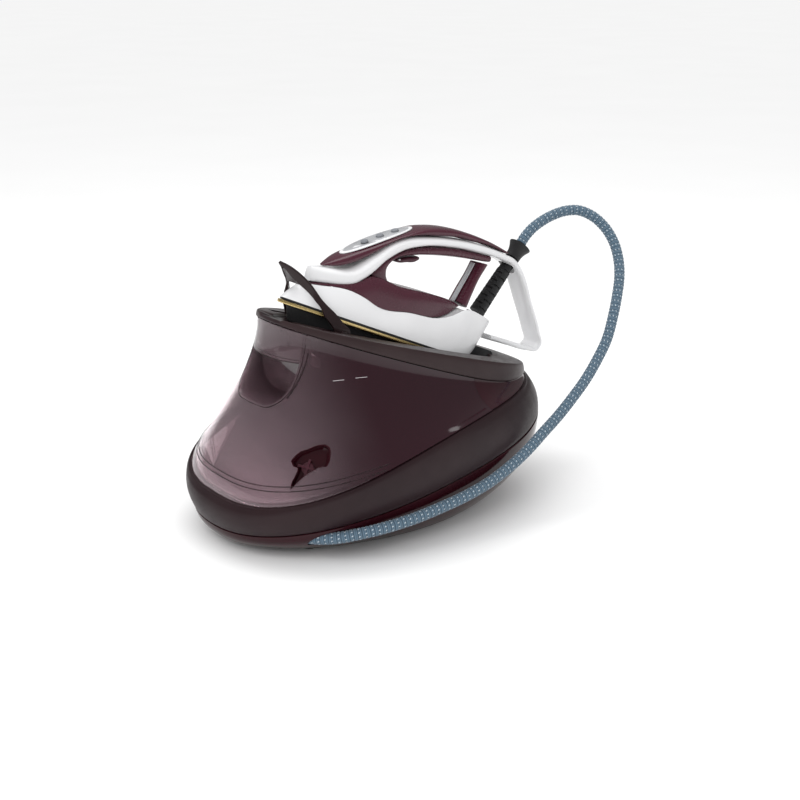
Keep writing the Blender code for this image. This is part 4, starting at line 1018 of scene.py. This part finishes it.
def make_platform(finish):
    """The iron's rest: a rim round a well, lower where the iron's toe passes over it."""
    def under(x):
        return min(rim_height(x), well_floor(x) - 3)

    def edge_drop(x, y):
        if x > 0:
            return 0.0
        return LIP_DROP * (1 - smoothstep((abs(y) - LIP_HALF_WIDTH) / LIP_RUN))

    def level(inset, share, sink=0.0, oval=RIM_EDGE):
        loop = []
        for x, y in (oval.inset(inset).point(a) for a in angles(REST_POINTS)):
            high = rest_height(x) - edge_drop(x, y)
            loop.append((x, y, blend(rim_height(x), high, share) - sink))
        return loop

    side = [level(0.4, 0.0), level(0.0, 0.06), level(0.15, 0.3), level(0.6, 0.6), level(1.1, 0.82),
            level(1.7, 0.94), level(2.6, 1.0)]
    well = [level(-1.4, 1.0, 0, WELL_EDGE), level(-0.4, 1.0, 0.35, WELL_EDGE),
            level(0.0, 1.0, 1.2, WELL_EDGE),
            oval_loop(WELL_EDGE.inset(0.5), well_floor, REST_POINTS)]
    dish = oval_loop(WELL_EDGE.inset(-4), under, REST_POINTS)
    middle = 30
    shares = (0.12, 0.25, 0.4, 0.55, 0.7, 0.85)
    below = [shrink(dish, s, middle, under) for s in shares[::-1]] + [dish]
    floor = [shrink(well[-1], s, middle, well_floor) for s in shares]
    mesh = skin("rest_skin", below + side + well + floor, start=(middle, 0, under(middle)),
                end=(middle, 0, well_floor(middle)))
    for sign in (1, -1):
        loops = []
        for x in (-98, -52):
            floor = rim_height(x) + 2.2
            loops.append([(x, sign * y, z) for y, z in ((40, floor), (51.5, floor), (51.5, 250), (40, 250))])
        mesh = cut(mesh, skin("hoop_slot", loops))
    rest = finished("rest_skin", mesh, finish["rim"], "base", ["platform"])
    # The lowered lip where the toe passes and the well below the rest's top are coloured dark
    mesh.materials.append(finish["painted_seam_shade_and_dark_rest"])
    for face in mesh.polygons:
        x, y = face.center.x / MM - STATION_SHIFT, face.center.y / MM
        if x < 0 and edge_drop(x, y) > 1.0:
            face.material_index = 1
        inside = abs(y) < WELL_EDGE.half_width + 2 and WELL_EDGE.front - 1.5 < x < WELL_EDGE.rear + 2
        if inside and face.center.z / MM < rest_height(x) - 0.9 - edge_drop(x, y) and face.normal.z > -0.5 \
                and not on_rim_side(x, y):
            face.material_index = 1
    return rest


def make_heel_stop(finish):
    """The rubber stop behind the iron's heel, set into the rest."""
    profile = [(132, 137), (151, 137), (151.5, 151), (150, 153.6), (147.5, 153.4), (139, 149.2), (132.6, 146),
               (132, 145)]
    loops = []
    for y, grow in ((-34, 0.7), (-33.2, 0.93), (-31, 1.0), (31, 1.0), (33.2, 0.93), (34, 0.7)):
        loops.append([(blend(143, x, grow), y, blend(145, z, grow)) for x, z in profile])
    finished("heel_stop_pad", skin("heel_stop_pad", loops), finish["rubber"], "base", ["heel_stop"])


def on_rim_side(x, y):
    """Whether a point lies by the rest's outer edge."""
    reach = RIM_EDGE.rear - RIM_EDGE.widest if x > RIM_EDGE.widest else RIM_EDGE.widest - RIM_EDGE.front
    share = abs(x - RIM_EDGE.widest) / reach
    return share ** 2.4 + (abs(y) / RIM_EDGE.half_width) ** 2.4 > 0.93


def rounded_section(corners, radius):
    """A section's corners, each replaced by three points round it."""
    points = []
    for i, here in enumerate(corners):
        before, after = corners[i - 1], corners[(i + 1) % len(corners)]
        back = (before - here).normalized() * min(radius, (before - here).length * 0.4)
        ahead = (after - here).normalized() * min(radius, (after - here).length * 0.4)
        points += [here + back, here + (back + ahead) * 0.3, here + ahead]
    return points


def make_hoop(finish):
    near = [[x, -y, z, p, -q, r] for (x, y, z), (p, q, r) in HOOP_SIDE]
    far = [[*a, *b] for a, b in HOOP_SIDE[-2::-1]]
    rows = eased(near + far, 5)
    edges = [(Vector(row[:3]), Vector(row[3:])) for row in rows]
    loops = []
    for i, (front, rear) in enumerate(edges):
        before, after = edges[max(i - 1, 0)], edges[min(i + 1, len(edges) - 1)]
        along = after[0] + after[1] - before[0] - before[1]
        inward = along.cross(rear - front).normalized() * HOOP_THICKNESS
        loops.append(rounded_section([front, rear, rear + inward, front + inward], 0.9))
    hoop = skin("lock_hoop_skin", loops)
    foot, rise, back = Vector((-98.5, 0, 266)), Vector((-0.574, 0, 0.818)), Vector((0.818, 0, 0.574))
    half = [(14, 0), (8.2, 10.9), (3.6, 21)]
    outline = half + [(-y, q) for y, q in reversed(half)]
    web = skin("hoop_web", [[foot + Vector((0, y, 0)) + rise * q + back * depth for y, q in outline]
                            for depth in (0.5, 3.0)])
    hoop = cut(hoop, web, "UNION")
    for side in (1, -1):
        hoop = cut(hoop, round_bar("boss", 4.2, HOOP_PIVOT + Vector((0, side * 43.4, 0)),
                                   HOOP_PIVOT + Vector((0, side * 49.8, 0))), "UNION")
    bore = round_bar("bore", 2.2, HOOP_PIVOT - Vector((0, 80, 0)), HOOP_PIVOT + Vector((0, 80, 0)))
    finished("lock_hoop_skin", cut(hoop, bore), finish["hoop"], "lock_hoop", ["lock_hoop"], 40)


def make_power_button(finish):
    profile = [(9.6, 188), (10.5, 189), (10.5, 203.8), (10.1, 204.9), (9.2, 205.4), (8.2, 205.2),
               (7.8, 204.5), (7.2, 204.4), (6.8, 204.9), (4, 204.3)]
    loops = [[(x, r * math.cos(a), BUTTON_HEIGHT + r * math.sin(a)) for a in angles(48)] for r, x in profile]
    mesh = skin("power_button_cap", loops, start=(188, 0, BUTTON_HEIGHT), end=(204.1, 0, BUTTON_HEIGHT))
    finished("power_button_cap", mesh, finish["silver"], "power_button", ["power_button"])


# ---------------------------------------------------------------- the iron

BODY_SPLIT = curve_through([(0, 24), (19, 26.8), (65, 35), (82, 33), (104, 28), (144, 33.6), (189, 39.3),
                            (207, 47), (222, 57), (258, 58), (300, 52)])
COVER_TOP = curve_through([(19, 27.4), (40, 34), (60, 41), (78, 49), (88, 56), (128, 57), (160, 60),
                           (205, 62.5), (222, 62), (236, 60.5)])
SOLE_TOP = 5.0


def body_loop(rise, inset=0.0):
    loop = []
    for a in angles(IRON_POINTS):
        (u0, v0), (u1, v1) = SOLE_EDGE.inset(1.5 + inset).point(a), BODY_EDGE.inset(inset).point(a)
        loop.append((blend(u0, u1, rise), blend(v0, v1, rise ** 1.6),
                     blend(SOLE_TOP + 1.2, BODY_SPLIT(u1), rise)))
    return loop


def make_sole(finish):
    def level(inset, height):
        return oval_loop(SOLE_EDGE.inset(inset), height, IRON_POINTS)

    sole = [level(1.5, 0.0), level(0.4, 0.3), level(0, 1.0), level(0, 1.55), level(0.7, 1.7), level(0.7, 2.0),
            level(0, 2.15), level(0, 3.3), level(0.4, 3.6)]
    finished("sole_skin", skin("sole_skin", sole, IRON), finish["gold"], "iron", ["soleplate"],
             30)
    shield = [level(2.7, 3.6 + GAP), level(2.3, 4.2), level(2.3, SOLE_TOP + 0.6), level(2.7, SOLE_TOP + 0.9)]
    finished("shield_skin", skin("shield_skin", shield, IRON), finish["plastic"], "iron", ["heat_shield"])


def make_body(finish):
    centre = 150
    shares = (0.07, 0.22, 0.37, 0.52, 0.67, 0.82)

    def deck(u):
        return BODY_SPLIT(u) - 1.8

    def roof(u):
        return deck(u) - 2.6

    levels = [0.0, 0.1, 0.2, 0.3, 0.4, 0.5, 0.6, 0.7, 0.8, 0.9, 0.97]
    outer = [body_loop(t) for t in levels] + [body_loop(1.0, 0.5), lowered(body_loop(1.0, 1.4), 0.4)]
    inner = [body_loop(t, 2.6) for t in levels[::2]]
    inner[-1] = lowered(inner[-1], 4.4)
    under = [shrink(inner[-1], s, centre, roof) for s in shares]
    top = [shrink(outer[-1], s, centre, deck) for s in shares]
    mesh = skin("body_skin", under[::-1] + inner[::-1] + outer + top, IRON, start=(centre, 0, roof(centre)),
                end=(centre, 0, deck(centre)))
    finished("body_skin", mesh, finish["white"], "iron", ["body_shell"])


def make_mid_cover(finish):
    def low(u):
        return BODY_SPLIT(u) + GAP

    def level(inset, share):
        def height(u):
            return max(low(u) + 0.5 * share, blend(low(u), COVER_TOP(u), share))

        return oval_loop(COVER_EDGE.inset(inset), height, IRON_POINTS)

    centre = 130
    base = level(0.0, 0.0)
    top = [level(0.3, 0.2), level(0.7, 0.45), level(1.6, 0.68), level(3.2, 0.86), level(5.2, 0.96),
           level(7.5, 1.0)]
    shares = (0.17, 0.34, 0.51, 0.68, 0.84)
    inner = [shrink(top[-1], s, centre, lambda u: max(low(u) + 0.5, COVER_TOP(u))) for s in shares]
    under = [shrink(base, s, centre, low) for s in shares[::-1]]
    mesh = skin("mid_cover_skin", under + [base] + top + inner, IRON, start=(centre, 0, low(centre)),
                end=(centre, 0, COVER_TOP(centre)))
    finished("mid_cover_skin", mesh, finish["burgundy"], "iron", ["mid_cover"])


def sleeve_point(distance):
    """A point on the strain relief's line, by distance from the body."""
    return Vector((271.5, 0, 61.0)) + Vector((0.328, 0, 0.945)).normalized() * distance


HANDLE_FRAME = [
    ((23, 46), (24, 30), 5), ((40, 50), (40, 33), 16), ((66, 57.6), (66, 38.5), 23),
    ((87, 78.5), (84, 52), 24), ((108, 99.3), (103, 76.5), 22), ((128, 111), (122, 93.5), 21),
    ((148.7, 118), (143, 104.5), 21), ((192, 128.6), (187, 117), 21), ((242, 134.5), (238, 124), 20),
    ((271, 134.6), (264, 125.5), 18), ((292, 133), (288, 125), 16), ((305, 126.5), (299, 120), 15.5),
    ((341, 93), (335.5, 88.5), 15), ((369, 65), (364, 60.5), 15), ((379, 51), (372.5, 51), 15),
    ((375, 41), (369.5, 45.5), 15), ((362, 38), (361, 43.7), 15), ((330, 36), (330, 42.5), 15),
    ((292.5, 34.5), (292.5, 41), 15)]
HANDLE_COVER = [
    ((37, 52), (38, 50.4), 4), ((52.6, 66), (57, 57), 14), ((72, 80.2), (77, 71), 17),
    ((84, 88.6), (86.5, 79.6), 18), ((105, 102.7), (108, 100.4), 18), ((125, 115.3), (128, 112), 18),
    ((146, 127), (149, 119), 18), ((161, 132.4), (163, 122.4), 18), ((188, 138.4), (192, 129.6), 18),
    ((215, 140.7), (216, 132.4), 18), ((242, 140.8), (242, 135.4), 17), ((262, 139.8), (262, 135.5), 14),
    ((278, 138.2), (278, 135.3), 12)]
HANDLE_GRIP = [
    ((86, 58.6), (124, 57.9), 15), ((92, 65.6), (118, 63), 15), ((100.5, 73.7), (114.6, 72), 14.5),
    ((108.5, 81), (117.5, 80), 14.5), ((122, 92.3), (125, 86.6), 14.5), ((143, 103.6), (143.5, 94), 14.5),
    ((165, 111.5), (166, 100.6), 14.5), ((187, 118), (188, 106), 14.5), ((222, 123.3), (223, 113), 14.5),
    ((252, 126.5), (254, 118), 14)]
REAR_PILLAR = [((232, 64.2), (245, 60.2), 14), ((236, 82), (247, 79), 13), ((240, 98), (250, 96), 12),
               ((243, 114.6), (256, 116.2), 12.5)]
PILLAR_TRIM = [((228, 64), (231, 63.6), 3.2), ((232.3, 82), (235.2, 81.8), 3.2),
               ((236.3, 98), (239.2, 97.8), 3.2), ((239.2, 112.5), (242.2, 112.8), 3.2)]
TRIGGER = [((124.5, 84.5), (126, 81.2), 8), ((131, 87), (131.5, 81.5), 9), ((140, 91), (140.5, 84.5), 9),
           ((150, 94.2), (151, 88), 9), ((155, 95.8), (156, 92), 8)]


def make_handle(finish):
    band = ribbon("handle_frame_skin", HANDLE_FRAME)
    band = cut(band, round_bar("passage", 11.2, sleeve_point(55), sleeve_point(90), IRON))
    finished("handle_frame_skin", band, finish["white"], "iron", ["handle_frame"])
    for name, stations, node, square, body, surface, slot in (
            ("handle_cover_skin", HANDLE_COVER, "handle_cover", 2.6, "iron", "burgundy", "burgundy"),
            ("handle_grip_skin", HANDLE_GRIP, "handle_grip", 2.8, "iron", "burgundy", "burgundy"),
            ("rear_pillar_skin", REAR_PILLAR, "rear_pillar", 2.6, "iron", "burgundy", "burgundy"),
            ("pillar_trim_skin", PILLAR_TRIM, "pillar_trim", 3.2, "iron", "silver", "white_gloss"),
            ("trigger_skin", TRIGGER, "steam_trigger", 3.2, "steam_trigger", "trigger", "grey_plastic")):
        finished(name, ribbon(name, stations, IRON, square), finish[surface], body, [node])


SLEEVE_RIBS = 11


def make_sleeve(finish):
    """The ribbed strain relief: rings joined by blocks that take turns from side to side."""
    start, direction = sleeve_point(0), (sleeve_point(1) - sleeve_point(0)).normalized()
    turn = Vector((0, 0, 1)).rotation_difference(direction)
    loops = []
    for i in range(SLEEVE_RIBS):
        ring, low = 9.4 - 0.12 * i, 5.4 * i
        for height, gap in ((low, False), (low + 3.3, False), (low + 3.5, True), (low + 5.2, True)):
            loop = []
            for a in angles(SLEEVE_POINTS):
                block = abs(math.sin(a) if i % 2 else math.cos(a)) > 0.72
                radius = ring if not gap else (ring - 0.25 if block else ring - 2.1)
                loop.append(start + turn @ Vector((radius * math.cos(a), radius * math.sin(a), height)))
            loops.append(loop)
    loops += turned([(7.4, 60.0), (7.4, 76.6), (7.0, 77.0)], start, turn, SLEEVE_POINTS)
    finished("sleeve_skin", skin("sleeve_skin", loops, IRON), finish["rubber"], "iron", ["strain_relief"],
             25)
    collar = [(7.4, 0), (9.0, 0.3), (9.1, 4), (9.3, 7), (10.1, 10), (11.2, 13), (12.6, 15.8), (13.4, 17.2),
              (13.5, 18.2), (13.1, 18.5), (9.2, 18.5), (8.4, 17.6), (7.2, 16.2)]
    loops = turned(collar, sleeve_point(77 + GAP), turn, SLEEVE_POINTS)
    finished("collar_skin", skin("collar_skin", loops, IRON), finish["rubber"], "iron", ["hose_collar"],
             30)


PANEL_START, PANEL_END = Vector((52.6, 0, 66.0)), Vector((138.5, 0, 123.5))


def panel_point(share, height, across=0.0):
    """A point over the handle's front face, where the control panel lies."""
    along = (PANEL_END - PANEL_START).normalized()
    above = Vector((-along.z, 0, along.x))
    crown = 1.5 * math.sin(math.pi * share)
    return PANEL_START + (PANEL_END - PANEL_START) * share + above * (height + crown) + Vector((0, across, 0))


PANEL_HALF_WIDTH = 13.0
BUTTONS = {"steam_level_button": 0.36, "mode_button": 0.56, "eco_button": 0.76}


def panel_plate(name, start, end, inset, low, high):
    """A plate with the panel's rounded outline, between two heights over the handle's front."""
    rows = []
    for i in range(41):
        share = blend(start, end, (1 - math.cos(math.pi * i / 40)) / 2)
        along = abs(2 * (share - start) / (end - start) - 1)
        rows.append((share, max(0.4, (PANEL_HALF_WIDTH - inset) * (1 - min(1.0, along) ** 2.3) ** (1 / 2.1))))
    outline = [(s, w) for s, w in rows] + [(s, -w) for s, w in reversed(rows)]
    loops = []
    for height, grow in ((low, 1.0), (high - 0.4, 1.0), (high, 0.95)):
        loops.append([panel_point(blend((start + end) / 2, s, grow), height, w * grow) for s, w in outline])
    return skin(name, loops, IRON)


def make_panel(finish):
    base = panel_plate("panel_rim", 0.04, 0.98, 0.0, 0.4, 1.7)
    face = panel_plate("panel_face", 0.08, 0.94, 1.6, 1.2, 2.0)
    for share in BUTTONS.values():
        hole = (panel_point(share, -4), panel_point(share, 8))
        base = cut(base, round_bar("hole", 4.6, *hole, IRON))
        face = cut(face, round_bar("hole", 4.6, *hole, IRON))
    finished("panel_rim", base, finish["white"], "iron", ["control_panel"])
    finished("panel_face", face, finish["silver"], "iron", ())
    for name, share in BUTTONS.items():
        foot = panel_point(share, 1.5)
        up = (panel_point(share, 2.5) - foot).normalized()
        turn = Vector((0, 0, 1)).rotation_difference(up)
        profile = [(3.7, 0), (4.1, 0.3), (4.1, 1.9), (3.9, 2.4), (3.3, 2.7), (2.6, 2.5), (1.2, 2.2)]
        cap = skin(name + "_cap", turned(profile, foot, turn, 40), IRON)
        finished(name + "_cap", cap, finish["button"], name, [name])


# ---------------------------------------------------------------- the CAD parts that stay

KEPT = {
    "rubber": ("foot_", "rest_pad"),
    "steel": ("base_screw_", "flap_pin_", "hoop_pin_", "heel_screw_", "trigger_pin", "boiler_element",
              "pump_motor", "steam_pipe"),
    "aluminium": ("boiler", "heater_block"),
    "brass": ("safety_valve", "steam_valve", "hose_gland"),
    "plastic": ("water_pump", "board_bracket", "mains_inlet", "tank_spigot"),
    "board": ("circuit_board",),
    "tank": ("tank_lid",),
}


def dress_cad_parts(finish):
    """Gives the CAD nodes that stay in view, or inside, their materials."""
    for surface, starts in KEPT.items():
        for piece in bpy.data.objects:
            if piece.type == "MESH" and piece.name in frame["nodes"] and piece.name.startswith(starts):
                if surface == "aluminium" and piece.name == "boiler_element":
                    continue
                for material_slot in piece.material_slots:
                    material_slot.material = finish[surface]


# ---------------------------------------------------------------- the studio

def make_floor():
    nodes = Nodes("studio_floor")
    speck = nodes.noise(3, 2)
    nodes.set(Base_Color=nodes.mix(speck, colour(0.90, 0.90, 0.90), colour(0.93, 0.93, 0.93)), Roughness=0.9,
              Specular_IOR_Level=0.0)
    bm = bmesh.new()
    bmesh.ops.create_grid(bm, x_segments=4, y_segments=4, size=30)
    mesh = bpy.data.meshes.new("studio_floor")
    bm.to_mesh(mesh)
    bm.free()
    mesh.materials.append(nodes.material)
    floor = bpy.data.objects.new("studio_floor", mesh)
    bpy.context.scene.collection.objects.link(floor)


def area_light(name, place, aim, size, power, mirrored=True):
    data = bpy.data.lights.new(name, "AREA")
    data.shape = "RECTANGLE"
    data.size, data.size_y = size
    data.energy = power
    light = bpy.data.objects.new(name, data)
    bpy.context.scene.collection.objects.link(light)
    light.location = place
    light.rotation_euler = (Vector(aim) - Vector(place)).to_track_quat("-Z", "Y").to_euler()
    light.visible_glossy = mirrored


def make_light():
    world = bpy.data.worlds.new("studio")
    bpy.context.scene.world = world
    world.use_nodes = True
    tree = world.node_tree
    path = tree.nodes.new("ShaderNodeLightPath")
    strength = tree.nodes.new("ShaderNodeMapRange")
    strength.inputs["To Min"].default_value = 1.0
    strength.inputs["To Max"].default_value = 0.30
    tree.links.new(path.outputs["Is Glossy Ray"], strength.inputs["Value"])
    background = tree.nodes["Background"]
    background.inputs["Color"].default_value = (1, 1, 1, 1)
    tree.links.new(strength.outputs[0], background.inputs["Strength"])
    area_light("key_left", (-1.5, -0.7, 1.5), (0, 0, 0.12), (1.3, 1.3), 12, False)
    area_light("top_strip", (0.1, 0.5, 1.7), (0, 0, 0.1), (1.6, 0.7), 9)
    scene = bpy.context.scene
    scene.view_settings.view_transform = "Standard"


def main():
    make_camera()
    make_hose()
    finish = make_materials()
    make_casing(finish)
    make_band(finish)
    make_tank(finish)
    make_rear_cover(finish)
    make_beam(finish)
    make_platform(finish)
    make_heel_stop(finish)
    make_hoop(finish)
    make_power_button(finish)
    make_sole(finish)
    make_body(finish)
    make_mid_cover(finish)
    make_handle(finish)
    make_sleeve(finish)
    make_panel(finish)
    dress_cad_parts(finish)
    make_floor()
    make_light()


main()
